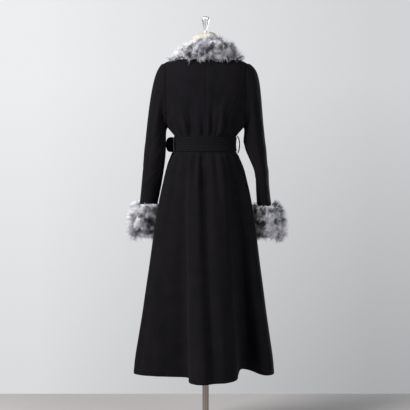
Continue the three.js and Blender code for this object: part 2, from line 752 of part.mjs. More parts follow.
function addCuffs() {
  for (const [arm, cuff] of Object.entries(cuffs)) {
    const height = cuff.top - cuff.bottom;
    const heights = cuffProfile.map(({ down }) => cuff.bottom + (1 - down) * height).reverse();
    const swells = cuffProfile.map(({ swell }) => swell).reverse();
    const outwards = arm === "left" ? 1 : -1;
    const lowest = sleeveSections[arm][sleeveSections[arm].length - 1].z;
    const turns = Array.from({ length: cuffSides }, (_, c) => (c / cuffSides) * 2 * Math.PI);
    const sleeveAt = (z, turn) => {
      const around = outwards > 0 ? turn : turn + Math.PI;
      return sleeveSectionPoint(arm, Math.max(z, lowest), around);
    };
    const outer = heights.map((z, r) => {
      const middle = sleeveAt(z, 0).add(sleeveAt(z, Math.PI)).multiplyScalar(0.5);
      const centre = vec(middle.x + outwards * cuff.outwards, middle.y, z);
      return turns.map((turn) => {
        const reach = vec(cuff.halfWidth * Math.cos(turn), cuff.halfDepth * Math.sin(turn), 0);
        return centre.clone().addScaledVector(reach, swells[r]);
      });
    });
    const inner = heights.map((z) =>
      turns.map((turn) => {
        const out = vec(Math.cos(turn), Math.sin(turn), 0);
        return sleeveAt(z, turn).addScaledVector(out, cuffSeat).setZ(z);
      }),
    );
    addPiece(`fur_cuff_${arm}`, wallGeometry(outer, inner, true), fur);
  }
}

function addBelt() {
  const heights = [beltBottom, (beltBottom + beltTop) / 2, beltTop];
  const grid = (distance) =>
    heights.map((z) =>
      Array.from({ length: beltColumns }, (_, c) => {
        const angle = (c / beltColumns) * 360;
        const point = coatPoint(angle, z);
        const reach = Math.hypot(point.x, point.y);
        const scale = (reach + distance) / reach;
        return vec(point.x * scale, point.y * scale, z);
      }),
    );
  addPiece("belt_band", wallGeometry(grid(layerGap + beltWall), grid(layerGap), true), wool);
}

// A rounded block, squashed to the knot's half sizes.
function addKnot() {
  const normal = coatNormal(knotAngle, waistHeight);
  const seat = coatPoint(knotAngle, waistHeight);
  const centre = seat.addScaledVector(normal, layerGap + beltWall + knotGap + knotHalf.out);
  const knot = new THREE.SphereGeometry(1, knotFacets.around, knotFacets.over);
  knot.scale(knotHalf.out, knotHalf.along, knotHalf.up);
  knot.rotateZ(Math.atan2(normal.y, normal.x));
  knot.translate(centre.x, centre.y, waistHeight);
  addPiece("belt_knot", knot, wool);
}

// The belt's ends hang over the skirt from under the knot.
function addBeltEnds() {
  for (const [name, end] of Object.entries(beltEnds)) {
    const top = beltBottom - endDrop;
    const grid = (distance) =>
      Array.from({ length: endRows }, (_, r) => {
        const up = r / (endRows - 1);
        const z = end.bottom + up * (top - end.bottom);
        const middle = end.bottomAngle + up * (end.topAngle - end.bottomAngle);
        const half = turnFor(middle, z, end.width / 2);
        return Array.from({ length: endColumns }, (_c, c) => {
          const angle = middle + half * ((2 * c) / (endColumns - 1) - 1);
          return coatOffset(angle, z, distance);
        });
      });
    addPiece(name, wallGeometry(grid(end.over + beltWall), grid(end.over)), wool);
  }
}

// Thread loops that hold the belt at the sides.
function addBeltLoops() {
  for (const [name, { angle, stand }] of Object.entries(beltLoops)) {
    const over = layerGap + beltWall + loopRadius + loopClearance;
    const path = loopShares.map((share) => {
      const z = waistHeight + share * loopHalfHeight;
      const isEnd = Math.abs(share) === 1;
      const out = isEnd ? loopRadius + loopSeat : over + stand * (1 - Math.abs(share));
      return coatOffset(angle, z, out);
    });
    const section = new THREE.Shape();
    section.absarc(0, 0, loopRadius, 0, 2 * Math.PI);
    const extrudePath = new THREE.CatmullRomCurve3(path);
    const { along, around } = loopFacets;
    const options = { steps: along, curveSegments: around, bevelEnabled: false, extrudePath };
    addPiece(name, new THREE.ExtrudeGeometry(section, options), wool);
  }
}

function addForm() {
  const turns = Array.from({ length: torsoColumns }, (_, c) => (c / torsoColumns) * 360);
  const hipRing = (z) => {
    const sizes = ["side", "back", "front"].map((column) => read(formHips, "z", column, z));
    return turns.map((angle) => sectionPoint(angle, ...sizes, 2).setZ(z));
  };
  const chestRing = (z) => {
    const inset = read(formInset, "z", "inset", z);
    return turns.map((angle) => {
      const normal = coatNormal(angle, z);
      const point = bodiceRing(angle, z).setZ(z).addScaledVector(normal, -inset);
      point.x = Math.max(-torsoMaxSide, Math.min(torsoMaxSide, point.x));
      return point;
    });
  };
  const neckRing = (z, radius) => {
    return turns.map((a) => vec(radius * Math.cos(a * degree), radius * Math.sin(a * degree), z));
  };
  const chestRows = bodyRows.filter((z) => z > torsoChestBottom && z < neckHeight);
  const rings = [
    ...formHips.map(({ z }) => hipRing(z)),
    ...chestRows.map(chestRing),
    neckRing(collarSeamHeight, neckRadius + neckSpread),
    neckRing(capBottom - neckGap, neckRadius),
  ];
  addPiece("form_torso", ringSolid(rings), creamJersey);
}

function lathe(profile, sides) {
  const geometry = new THREE.LatheGeometry(
    profile.map(([radius, z]) => new THREE.Vector2(radius, z)),
    sides,
  );
  geometry.rotateX(Math.PI / 2);
  return geometry;
}

function addStand() {
  const rim = capBottom + capLip;
  const capRadius = neckRadius + capOverhang;
  const dome = capSteps.map((t) => {
    const turn = (t * Math.PI) / 2;
    return [capRadius * Math.cos(turn), rim + (capTop - rim) * Math.sin(turn)];
  });
  dome[dome.length - 1][0] = 0;
  const capSeat = [
    [0, capBottom],
    [neckRadius + neckSpread, capBottom],
  ];
  addPiece("neck_cap", lathe([...capSeat, ...dome], capSides), creamJersey);
  const finial = finialProfile.map(({ radius, z }) => [radius, z]);
  addPiece("neck_finial", lathe(finial, finialSides), steel);
  const over = catchWire.radius + catchWire.gap;
  const wirePath = Array.from({ length: catchWire.steps }, (_, k) => {
    const x = catchWire.from + (k / (catchWire.steps - 1)) * (catchWire.to - catchWire.from);
    const lean = Math.sqrt(1 - (x / capRadius) ** 2);
    return vec(x, 0, rim + (capTop - rim) * lean + over);
  });
  const wireSection = new THREE.Shape();
  wireSection.absarc(0, 0, catchWire.radius, 0, 2 * Math.PI);
  const wireOptions = {
    steps: catchWire.along,
    curveSegments: catchWire.around,
    bevelEnabled: false,
    extrudePath: new THREE.CatmullRomCurve3(wirePath),
  };
  addPiece("cap_fitting", new THREE.ExtrudeGeometry(wireSection, wireOptions), darkSteel);
  const poleLength = torsoBottom - poleBottom - 2 * neckGap;
  const pole = new THREE.CylinderGeometry(poleRadius, poleRadius, poleLength, poleSides);
  pole.rotateX(Math.PI / 2);
  pole.translate(0, 0, (torsoBottom + poleBottom) / 2);
  addPiece("stand_pole", pole, steel);
  const foot = baseProfile.map(({ radius, z }) => [radius, z]);
  addPiece("stand_base", lathe(foot, baseSides), steel);
}

addBody();
addSleeves();
addCollar();
addCuffs();
addBelt();
addKnot();
addBeltEnds();
addBeltLoops();
addForm();
addStand();

export default object;
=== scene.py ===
import math
from functools import partial

import bpy
import numpy as np
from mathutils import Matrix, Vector


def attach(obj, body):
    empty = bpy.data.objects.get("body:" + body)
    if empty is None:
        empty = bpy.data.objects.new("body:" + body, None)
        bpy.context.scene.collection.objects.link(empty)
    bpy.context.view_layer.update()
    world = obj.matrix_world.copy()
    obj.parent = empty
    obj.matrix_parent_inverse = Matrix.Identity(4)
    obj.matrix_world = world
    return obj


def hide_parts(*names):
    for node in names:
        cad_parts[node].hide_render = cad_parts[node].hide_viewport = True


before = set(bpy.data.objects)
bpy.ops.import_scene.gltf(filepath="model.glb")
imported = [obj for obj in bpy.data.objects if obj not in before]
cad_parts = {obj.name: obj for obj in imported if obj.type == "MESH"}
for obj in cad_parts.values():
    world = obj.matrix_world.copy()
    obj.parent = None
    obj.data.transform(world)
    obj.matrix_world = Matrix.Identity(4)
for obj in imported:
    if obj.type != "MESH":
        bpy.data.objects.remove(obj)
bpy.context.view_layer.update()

# Shapes are worked out in millimetres, z up, with the coat facing -y and the wearer's left at +x.
# An angle is counted round the body, from the wearer's left towards the back.
metre = 0.001


def smoothStep(value):
    value = np.clip(value, 0.0, 1.0)
    return value * value * (3 - 2 * value)


def bell(distance, width):
    return np.exp(-((distance / width) ** 2))


def alongCurve(t, start, end, startPull, endPull):
    rise = end - start
    bend = 3 * rise - 2 * startPull - endPull
    return start + startPull * t + bend * t**2 + (startPull + endPull - 2 * rise) * t**3


# Reads a column of a table between its rows, along a curve that never overshoots them
def readRows(rows, column, at):
    keys = np.array([row[0] for row in rows], float)
    values = np.array([row[column] for row in rows], float)
    width = np.diff(keys)
    grade = np.diff(values) / width
    slope = np.empty(len(keys))
    slope[0], slope[-1] = grade[0], grade[-1]
    same = grade[:-1] * grade[1:] > 0
    total = np.where(same, grade[:-1] + grade[1:], 1)
    slope[1:-1] = np.where(same, 2 * grade[:-1] * grade[1:] / total, 0)
    at = np.clip(np.asarray(at, float), keys[0], keys[-1])
    i = np.clip(np.searchsorted(keys, at, side="right") - 1, 0, len(keys) - 2)
    t = (at - keys[i]) / width[i]
    return alongCurve(t, values[i], values[i + 1], width[i] * slope[i], width[i] * slope[i + 1])


# The same for a table that closes on itself after 360 degrees
def readLoop(rows, column, angle):
    keys = np.array([row[0] for row in rows], float)
    values = np.array([row[column] for row in rows], float)
    keys = np.concatenate((keys[-1:] - 360, keys, keys[:2] + 360))
    values = np.concatenate((values[-1:], values, values[:2]))
    slope = np.zeros(len(keys))
    slope[1:-1] = (values[2:] - values[:-2]) / (keys[2:] - keys[:-2])
    at = np.mod(angle, 360)
    i = np.searchsorted(keys, at, side="right") - 1
    width = keys[i + 1] - keys[i]
    t = (at - keys[i]) / width
    return alongCurve(t, values[i], values[i + 1], width * slope[i], width * slope[i + 1])


def unit(vectors):
    return vectors / np.maximum(np.linalg.norm(vectors, axis=-1, keepdims=True), 1e-9)


# Normals of a grid of points: outwards where its rows go up and its columns anticlockwise
def gridNormals(grid, closed=False):
    if closed:
        across = np.roll(grid, -1, axis=1) - np.roll(grid, 1, axis=1)
    else:
        across = np.gradient(grid, axis=1)
    return unit(np.cross(across, np.gradient(grid, axis=0)))


# The shape of the coat, shared by all of its pieces
hemHeight, waistHeight, neckHeight = 231, 1070, 1408
armpitHeight, shoulderTipHeight, princessTop = 1130, 1364, 1310
beltBottom, beltTop = 1045, 1096
layerGap, beltWall, seamGap = 0.6, 3.0, 0.06

# height, half width, depth behind, depth in front, squareness
bodiceSections = [
    (1070, 108, 86, 92, 2.1), (1096, 110.5, 88, 95, 2.1), (1106, 116, 90, 99, 2.15),
    (1118, 126, 93, 103, 2.2), (1130, 136, 95, 107, 2.25), (1150, 147, 99, 113, 2.3),
    (1180, 154, 102, 120, 2.35), (1225, 158, 105, 124, 2.4), (1270, 160, 103, 113, 2.4),
    (1310, 160, 97, 98, 2.35), (1340, 157.5, 88, 83, 2.25), (1356, 153.5, 81, 73, 2.15),
    (1364, 150, 77, 68, 2.1), (1372, 133, 73, 64, 2.05), (1380, 115, 69.5, 60, 2), (1388, 97, 66, 56, 2),
    (1396, 80, 62.5, 52.5, 2), (1403, 67, 59.5, 50, 2), (1408, 62, 57.5, 48.5, 2),
]
# height, share of the way from the waist to the hem's width
skirtFlare = [
    (231, 1), (283, 0.967), (371, 0.88), (459, 0.79), (546, 0.71), (634, 0.627), (721, 0.55), (867, 0.4),
    (904, 0.35), (940, 0.29), (977, 0.226), (995, 0.183), (1013, 0.13), (1032, 0.073), (1045, 0.02),
    (1070, 0),
]
# The hem without its folds, an oval set back from the pole
plainHem = {"halfWidth": 258, "halfDepth": 160, "back": 30}
# angle at the waist, then x, y and lift of the hem there: ridges and valleys of the large folds
hemFolds = [
    (0, 264, 28, 4), (14, 242, 54, 2), (27, 196, 74, 2), (38, 130, 82, 1), (45, 74, 90, 1),
    (52, 56, 122, 1), (56, 60, 174, 1), (63, 44, 206, 0), (72, 18, 219, 0), (84, -10, 216, 0),
    (96, -42, 205, 1), (110, -76, 184, 0), (124, -104, 152, 0), (134, -120, 108, 5), (141, -128, 36, 18),
    (147, -150, 2, 12), (155, -182, 30, 5), (163, -212, 54, 1), (172, -241, 46, 1), (181, -252, 18, 3),
    (194, -236, -32, 2), (207, -192, -72, 4), (220, -160, -116, 2), (234, -112, -146, 0),
    (248, -62, -134, 2), (262, -18, -148, 0), (276, 34, -160, 0), (290, 82, -138, 2), (303, 116, -106, 5),
    (317, 166, -110, 1), (331, 210, -74, 2), (346, 250, -24, 3),
]
# angle, width, how far out above the belt, and below it
beltGathers = [
    (28, 8, -3, 3), (46, 6, 5, 4), (61, 6, -4, -4), (71, 6, 4, 0), (88, 9, -2, -5), (106, 7, -4, -1),
    (119, 5, 6, 2), (131, 8, 0, 5), (147, 7, -4, -5), (205, 8, 4, 4), (226, 7, -4, -4), (252, 8, 3, 4),
    (284, 8, -3, -4), (318, 8, 4, 3), (338, 7, -3, -3),
]
# how far from the belt a gather is deepest, and over which reach it fades
gatherReach = {"peak": 24, "above": 130, "below": 210}
princessSeam = {
    "left": [(1070, 52), (1106, 54), (1160, 52.5), (1215, 48), (1283, 34), (1310, 20.4)],
    "right": [
        (1070, 138), (1106, 135), (1127, 133), (1170, 133.6), (1232, 143.4), (1283, 154), (1310, 159.6),
    ],
}
frontEdgeRight = [
    (1070, 298), (1096, 296), (1140, 285), (1190, 272), (1250, 260), (1300, 250), (1340, 239), (1364, 228),
    (1380, 219), (1396, 206), (1408, 195),
]
# Creases within the large folds: start angle and height, end angle and height, stand, width.
# Those that start at 1070 come out from under the belt.
bodyCreases = [
    # back, above the belt
    (24, 1070, 20, 1160, -2.0, 6), (34, 1070, 31, 1195, 2.4, 6), (41, 1070, 40, 1170, -2.6, 5),
    (50, 1070, 50, 1235, 2.8, 6), (57, 1070, 60, 1220, -3.4, 6), (66, 1070, 70, 1255, -2.6, 7),
    (76, 1070, 79, 1175, 2.2, 5), (83, 1070, 86, 1210, -2.2, 6), (96, 1070, 98, 1185, 2.4, 6),
    (101, 1070, 105, 1260, -3.4, 7), (113, 1070, 116, 1205, -3.4, 5), (119, 1070, 124, 1275, 3.6, 7),
    (126, 1070, 131, 1200, -3.0, 5), (139, 1070, 143, 1170, 2.4, 6), (152, 1070, 155, 1190, -2.2, 6),
    (163, 1070, 164, 1160, 1.8, 6),
    # upper back and armholes
    (60, 1200, 35, 1335, 1.8, 16), (112, 1190, 140, 1335, -2.0, 15), (75, 1235, 80, 1360, -1.2, 14),
    (98, 1225, 104, 1350, 1.4, 14), (20, 1165, 38, 1250, -2.4, 8), (160, 1160, 143, 1246, -2.6, 8),
    (16, 1135, 42, 1195, 1.8, 8), (164, 1134, 140, 1190, 2.0, 8),
    # back, below the belt
    (22, 1070, 20, 920, 2.4, 6), (32, 1070, 30, 740, -3.2, 9), (40, 1070, 39, 890, 2.8, 6),
    (50, 1070, 48, 800, -2.6, 7), (57, 1070, 55, 620, 2.8, 10), (66, 1070, 66, 870, -3.6, 6),
    (75, 1070, 74, 540, 2.4, 12), (82, 1070, 80, 850, -2.8, 8), (92, 1070, 93, 930, 2.2, 6),
    (99, 1070, 101, 600, 3.0, 12), (111, 1070, 112, 820, -2.8, 8), (122, 1070, 121, 540, 2.8, 12),
    (128, 1070, 127, 890, -2.2, 6), (139, 1070, 140, 680, -3.4, 9), (150, 1070, 151, 870, 2.6, 7),
    (158, 1070, 159, 600, -2.4, 10), (168, 1070, 169, 890, 2.2, 7),
    # back, wide and as far as the hem
    (86, 1070, 95, -200, -14.0, 34), (30, 1070, 28, -200, -3.0, 20), (134, 1070, 136, -200, -5.0, 12),
    # back, up from the hem
    (14, 203, 17, 640, -3.4, 17), (31, 203, 30, 520, 3.2, 14), (64, 203, 65, 600, -2.8, 14),
    (79, 203, 78, 500, 2.8, 16), (92, 203, 91, 640, -2.8, 12), (106, 203, 104, 560, 2.6, 14),
    (118, 203, 117, 520, -2.8, 13), (153, 203, 151, 470, -3.0, 14), (168, 203, 165, 560, 3.0, 16),
    # front, above the belt
    (196, 1070, 198, 1165, -2.2, 6), (207, 1070, 210, 1190, 2.4, 6), (216, 1070, 217, 1160, -2.4, 5),
    (229, 1070, 232, 1215, 2.6, 7), (238, 1070, 240, 1170, -2.6, 6), (246, 1070, 250, 1200, -2.2, 7),
    (259, 1070, 261, 1180, 2.4, 6), (268, 1070, 270, 1160, -2.0, 6), (277, 1070, 274, 1175, 2.2, 6),
    (306, 1070, 302, 1180, -2.4, 6), (316, 1070, 314, 1205, 2.4, 7), (327, 1070, 326, 1170, -2.6, 6),
    (350, 1070, 352, 1165, 2.0, 7),
    # chest
    (212, 1180, 228, 1310, -2.0, 14), (322, 1190, 306, 1315, 2.0, 15), (204, 1150, 222, 1215, 2.0, 9),
    (336, 1150, 318, 1215, -2.2, 9),
    # front, below the belt
    (190, 1070, 191, 880, 2.6, 7), (199, 1070, 199, 700, -3.0, 9), (212, 1070, 211, 860, 2.6, 7),
    (221, 1070, 221, 600, -2.8, 11), (233, 1070, 233, 840, -3.0, 8), (243, 1070, 243, 560, 2.8, 12),
    (257, 1070, 257, 850, 2.4, 8), (268, 1070, 269, 640, -3.0, 11), (278, 1070, 279, 870, 2.6, 7),
    (291, 1070, 292, 700, -2.6, 9), (305, 1070, 306, 840, 2.6, 8), (313, 1070, 313, 620, -2.8, 10),
    (327, 1070, 326, 860, 2.4, 7), (347, 1070, 345, 660, -2.8, 10), (356, 1070, 356, 880, 2.4, 7),
    # front, up from the hem
    (187, 203, 188, 520, -3.0, 15), (212, 203, 213, 560, 3.0, 15), (240, 203, 241, 500, -3.0, 14),
    (256, 203, 255, 620, 2.8, 16), (284, 203, 283, 540, -2.8, 14), (310, 203, 309, 500, -3.0, 14),
    (326, 203, 325, 600, 2.8, 16), (352, 203, 353, 520, -3.0, 15),
]
# shares of a crease's length over which it starts and ends, and its width's share at the start and growth
creaseForm = {"start": 0.12, "end": 0.6, "width": 0.8, "widening": 0.5, "bodyShare": 1.2, "beltFade": 14}
# height, and how much cloth a turn of one degree takes there
bodyMmPerDegree = [
    (231, 4.2), (600, 3.1), (867, 2.5), (1045, 1.8), (1096, 1.8), (1225, 2.4), (1364, 2.2), (1408, 1.1),
]


def sectionPoint(angle, side, back, front, square):
    c, s = np.cos(np.radians(angle)), np.sin(np.radians(angle))
    depth = np.where(s > 0, back, front)
    reach = (np.abs(c / side) ** square + np.abs(s / depth) ** square) ** (-1 / square)
    return reach * c, reach * s


def gatherShare(distance, reach):
    peak = gatherReach["peak"]
    return smoothStep(distance / peak) * (1 - smoothStep((distance - peak) / reach))


def turnBetween(angle, other):
    return np.mod(angle - other + 540, 360) - 180


def gatherAt(angle, z):
    out = 0.0
    for at, width, above, below in beltGathers:
        stand = above * gatherShare(z - beltTop, gatherReach["above"])
        stand = stand + below * gatherShare(beltBottom - z, gatherReach["below"])
        out = out + bell(turnBetween(angle, at), width) * stand
    return out


# The left front lies under the right one where they cross: how deep, between which angles, up to which height
wrapLap = {"inset": 4.6, "start": 200, "end": 318, "endFade": 12, "top": 1290, "topFade": 60}


def wrapInset(angle, z):
    at = np.mod(angle, 360)
    inset = wrapLap["inset"] * smoothStep((wrapLap["end"] - at) / wrapLap["endFade"])
    inset = inset * smoothStep((wrapLap["top"] - z) / wrapLap["topFade"])
    return np.where(at < wrapLap["start"], 0, inset)


def coatPoint(angle, z, under=False):
    angle, z = np.broadcast_arrays(np.asarray(angle, float), np.asarray(z, float))
    section = (readRows(bodiceSections, column, np.maximum(z, waistHeight)) for column in (1, 2, 3, 4))
    x, y = sectionPoint(angle, *section)
    widen = readRows(skirtFlare, 1, z)
    deepen = widen**1.6  # the folds deepen later than the skirt widens
    halfDepth = plainHem["halfDepth"]
    plainX, plainY = sectionPoint(angle, plainHem["halfWidth"], halfDepth, halfDepth, 2)
    plainY = plainY + plainHem["back"]
    x = x + widen * (plainX - x) + deepen * (readLoop(hemFolds, 1, angle) - plainX)
    y = y + widen * (plainY - y) + deepen * (readLoop(hemFolds, 2, angle) - plainY)
    out = gatherAt(angle, z) - (wrapInset(angle, z) if under else 0)
    x = x + out * np.cos(np.radians(angle))
    y = y + out * np.sin(np.radians(angle))
    return np.stack((x, y, z + deepen * readLoop(hemFolds, 3, angle)), axis=-1)


# how far away the neighbours are that a normal is worked out from, in mm and in degrees
normalStep = {"up": 1.5, "around": 0.4}


def coatNormal(angle, z, under=False):
    up, around = normalStep["up"], normalStep["around"]
    lower, upper = np.maximum(hemHeight, z - up), np.minimum(neckHeight, z + up)
    aroundStep = coatPoint(angle + around, z, under) - coatPoint(angle - around, z, under)
    return unit(np.cross(aroundStep, coatPoint(angle, upper, under) - coatPoint(angle, lower, under)))


def coatOffset(angle, z, distance, under=False):
    distance = np.asarray(distance, float)[..., None]
    return coatPoint(angle, z, under) + coatNormal(angle, z, under) * distance


def creaseAt(rows, angle, z, mmPerDegree):
    out = 0.0
    for startAngle, startZ, endAngle, endZ, stand, width in rows:
        along = (z - startZ) / (endZ - startZ)
        away = turnBetween(angle, startAngle + along * (endAngle - startAngle)) * mmPerDegree
        fade = smoothStep(along / creaseForm["start"]) * smoothStep((1 - along) / creaseForm["end"])
        spread = creaseForm["width"] + creaseForm["widening"] * np.clip(along, 0, 1)
        out = out + stand * fade * bell(away, width * spread)
    return out


def bodyCrease(angle, z):
    fade = creaseForm["beltFade"]
    clear = smoothStep((beltBottom - z) / fade) + smoothStep((z - beltTop) / fade)
    creases = creaseAt(bodyCreases, angle, z, readRows(bodyMmPerDegree, 1, z))
    return creaseForm["bodyShare"] * clear * creases


# How far the armhole reaches round the body, in degrees
armholeReach = {"back": 22, "front": 24}


def armholeAngle(z, part):
    t = np.clip((z - armpitHeight) / (shoulderTipHeight - armpitHeight), 0, 1)
    return armholeReach[part] * (1 - np.abs(2 * t - 1) ** 3) ** (1 / 2.2)


# Adds a node with its settings and links; a link from a node takes its first output
def addNode(tree, kind, settings=None, links=None):
    node = tree.nodes.new(kind)
    for name, value in (settings or {}).items():
        if isinstance(name, int) or name in node.inputs:
            node.inputs[name].default_value = value
        else:
            setattr(node, name, value)
    for name, source in (links or {}).items():
        tree.links.new(getattr(source, "outputs", [source])[0], node.inputs[name])
    return node


def colour(hexText):
    parts = [int(hexText[i : i + 2], 16) / 255 for i in (0, 2, 4)]
    return tuple(p / 12.92 if p <= 0.04045 else ((p + 0.055) / 1.055) ** 2.4 for p in parts) + (1.0,)


def startMaterial(name):
    material = bpy.data.materials.new(name)
    material.use_nodes = True
    material.node_tree.nodes.clear()
    return material, partial(addNode, material.node_tree)


def finishMaterial(add, settings, links):
    shader = add("ShaderNodeBsdfPrincipled", settings, links)
    add("ShaderNodeOutputMaterial", links={"Surface": shader})


# Wool melton, fulled and brushed: no weave shows, only a matt nap that catches the light at its edges
meltons = {
    "woolMelton": {"dark": "030305", "light": "0e0b10"},
    # the belt is quilted, and drawn in a darker copy of the same wool
    "woolMeltonDarker": {"dark": "030304", "light": "08070a"},
}
# In mm. Fibres are 0.02 mm thick, drawn here as clumps of nap 1.6 mm across
meltonNap = {
    "cloud": 45, "nap": 1.6, "napDepth": 0.6, "napShare": 0.45,
    "roughness": 0.9, "sheen": 0.02, "sheenSpread": 0.45, "gloss": 0.1, "bump": 0.35,
}


def makeMelton(name):
    look = {**meltonNap, **meltons[name]}
    material, add = startMaterial(name)
    place = add("ShaderNodeTexCoord").outputs["Object"]
    cloud = add("ShaderNodeTexNoise", {"Scale": 1000 / look["cloud"], "Detail": 3.0}, {"Vector": place})
    nap = add("ShaderNodeTexNoise", {"Scale": 1000 / look["nap"], "Detail": 2.0}, {"Vector": place})
    both = add("ShaderNodeMix", {"Factor": look["napShare"]}, {"A": cloud, "B": nap})
    level = add("ShaderNodeMapRange", {"From Min": 0.3, "From Max": 0.7}, {"Value": both})
    tint = add(
        "ShaderNodeMix", {"data_type": "RGBA", 6: colour(look["dark"]), 7: colour(look["light"])}, {0: level}
    )
    depth = look["napDepth"] * metre
    bump = add("ShaderNodeBump", {"Strength": look["bump"], "Distance": depth}, {"Height": nap})
    finishMaterial(
        add,
        {
            "Roughness": look["roughness"], "Specular IOR Level": look["gloss"],
            "Sheen Weight": look["sheen"], "Sheen Roughness": look["sheenSpread"],
        },
        {"Base Color": tint.outputs[2], "Normal": bump},
    )
    return material


# Faux fur of modacrylic pile on a knitted backing: pale guard hairs, dark smudged spots, and a greyer colour
# low in the pile that is partly its own undercoat and partly painted shade.
# Cells, patches and smudges are in mm.
furLook = {
    "ground": "f1f1f7", "greyed": "bfbdcb", "spot": "1a1825", "underfurAndRootShade": "c9c7d4", "tip": "fcfcfe",
    "cell": 19, "cellShift": (0.011, 0.0, 0.006), "cellStretch": (1.0, 1.0, 0.62), "spotShare": 0.85,
    "spotEdge": (0.44, 0.33), "paleMiddle": 0.55, "middleReach": 0.16, "smudge": 12, "smudgesPerMetre": 70.0,
    "patch": 34, "greying": (0.42, 0.66), "darkHairs": (0.04, 0.4), "darkHairPatches": (0.4, 0.6),
    "darkHairDepth": 0.8, "tipShare": 0.35, "underfurAndShadeShare": 0.35, "hairLevels": (0.82, 1.1),
    "roughness": 0.62, "gloss": 0.3, "sheen": 0.15,
}


def makeFur():
    look = furLook
    material, add = startMaterial("snowLeopardFauxFur")
    # each hair carries the place of its root, so that it takes one colour
    root = add("ShaderNodeAttribute", {"attribute_name": "furRoot"}).outputs["Vector"]
    along = add("ShaderNodeAttribute", {"attribute_name": "alongHair"}).outputs["Fac"]
    shade = add("ShaderNodeAttribute", {"attribute_name": "hairShade"}).outputs["Fac"]
    smudge = add("ShaderNodeTexNoise", {"Scale": look["smudgesPerMetre"], "Detail": 2.0}, {"Vector": root})
    shift = add(
        "ShaderNodeVectorMath", {"operation": "SUBTRACT", 1: (0.5, 0.5, 0.5)}, {0: smudge.outputs["Color"]}
    )
    small = add("ShaderNodeVectorMath", {"operation": "SCALE", "Scale": look["smudge"] * metre}, {0: shift})
    warped = add("ShaderNodeVectorMath", {"operation": "ADD"}, {0: root, 1: small})
    flat = add(
        "ShaderNodeMapping", {"Location": look["cellShift"], "Scale": look["cellStretch"]}, {"Vector": warped}
    )
    cells = add("ShaderNodeTexVoronoi", {"Scale": 1000 / look["cell"], "Randomness": 0.85}, {"Vector": flat})
    outside, inside = look["spotEdge"]
    spot = add("ShaderNodeMapRange", {"From Min": outside, "From Max": inside}, {"Value": cells})
    # a larger spot has a paler middle
    middle = add(
        "ShaderNodeMapRange", {"From Max": look["middleReach"], "To Min": look["paleMiddle"]},
        {"Value": cells},
    )
    ring = add("ShaderNodeMath", {"operation": "MULTIPLY"}, {0: spot, 1: middle})
    chance = add("ShaderNodeSeparateColor", links={"Color": cells.outputs["Color"]})
    kept = add("ShaderNodeMath", {"operation": "LESS_THAN", 1: look["spotShare"]}, {0: chance})
    spots = add("ShaderNodeMath", {"operation": "MULTIPLY"}, {0: ring, 1: kept})
    patches = add("ShaderNodeTexNoise", {"Scale": 1000 / look["patch"], "Detail": 2.0}, {"Vector": root})
    low, high = look["greying"]
    greying = add("ShaderNodeMapRange", {"From Min": low, "From Max": high}, {"Value": patches})
    # among the pale hairs stand single dark ones, many in some patches and few in others
    low, high = look["darkHairPatches"]
    fewest, most = look["darkHairs"]
    darkShare = add(
        "ShaderNodeMapRange", {"From Min": low, "From Max": high, "To Min": fewest, "To Max": most},
        {"Value": patches},
    )
    dyed = add("ShaderNodeMath", {"operation": "LESS_THAN"}, {0: shade, 1: darkShare})
    streaks = add("ShaderNodeMath", {"operation": "MULTIPLY", 1: look["darkHairDepth"]}, {0: dyed})
    marks = add("ShaderNodeMath", {"operation": "MAXIMUM"}, {0: spots, 1: streaks})
    hair = add(
        "ShaderNodeMix", {"data_type": "RGBA", 6: colour(look["ground"]), 7: colour(look["greyed"])},
        {0: greying},
    )
    paleTip = add("ShaderNodeMapRange", {"From Min": 0.55, "To Max": look["tipShare"]}, {"Value": along})
    # painted shade: low in the pile each hair turns greyer, partly its own undercoat colour and partly the
    # shade that falls between the hairs
    rootShadeAndUnderfur = add(
        "ShaderNodeMapRange", {"From Max": 0.35, "To Min": look["underfurAndShadeShare"], "To Max": 0.0}, {"Value": along}
    )
    for share, name in ((paleTip, "tip"), (marks, "spot"), (rootShadeAndUnderfur, "underfurAndRootShade")):
        hair = add(
            "ShaderNodeMix", {"data_type": "RGBA", 7: colour(look[name])}, {0: share, 6: hair.outputs[2]}
        )
    dark, pale = look["hairLevels"]
    varied = add("ShaderNodeMapRange", {"To Min": dark, "To Max": pale}, {"Value": shade})
    final = add("ShaderNodeVectorMath", {"operation": "SCALE"}, {0: hair.outputs[2], "Scale": varied})
    finishMaterial(
        add,
        {"Roughness": look["roughness"], "Specular IOR Level": look["gloss"], "Sheen Weight": look["sheen"]},
        {"Base Color": final},
    )
    return material


# Cotton jersey, a fine knit stretched over the form: matt, with upright wales 1.1 mm apart
jerseyLook = {
    "yarn": "beb9ac", "shadeAndSoil": "a49f91", "wale": 1.1, "waleDepth": 0.3, "bump": 0.3,
    "soilPerMetre": 22.0, "soilShare": 0.6, "roughness": 0.85, "sheen": 0.1,
}


def makeJersey():
    look = jerseyLook
    material, add = startMaterial("creamCottonJersey")
    place = add("ShaderNodeTexCoord").outputs["Object"]
    # a wave of scale 1 has about 3.1 rings to a metre
    wales = add(
        "ShaderNodeTexWave",
        {"wave_type": "RINGS", "rings_direction": "Z", "Scale": 1000 / look["wale"] / 3.1, "Distortion": 0.6},
        {"Vector": place},
    ).outputs["Fac"]
    soil = add("ShaderNodeTexNoise", {"Scale": look["soilPerMetre"], "Detail": 4.0}, {"Vector": place})
    # painted shade: the grooves between the wales are drawn darker, and soil mottles the yarn darker at
    # random
    level = add("ShaderNodeMix", {"Factor": look["soilShare"]}, {"A": wales, "B": soil})
    tint = add(
        "ShaderNodeMix", {"data_type": "RGBA", 6: colour(look["shadeAndSoil"]), 7: colour(look["yarn"])}, {0: level}
    )
    depth = look["waleDepth"] * metre
    bump = add("ShaderNodeBump", {"Strength": look["bump"], "Distance": depth}, {"Height": wales})
    finishMaterial(
        add, {"Roughness": look["roughness"], "Sheen Weight": look["sheen"]},
        {"Base Color": tint.outputs[2], "Normal": bump},
    )
    return material


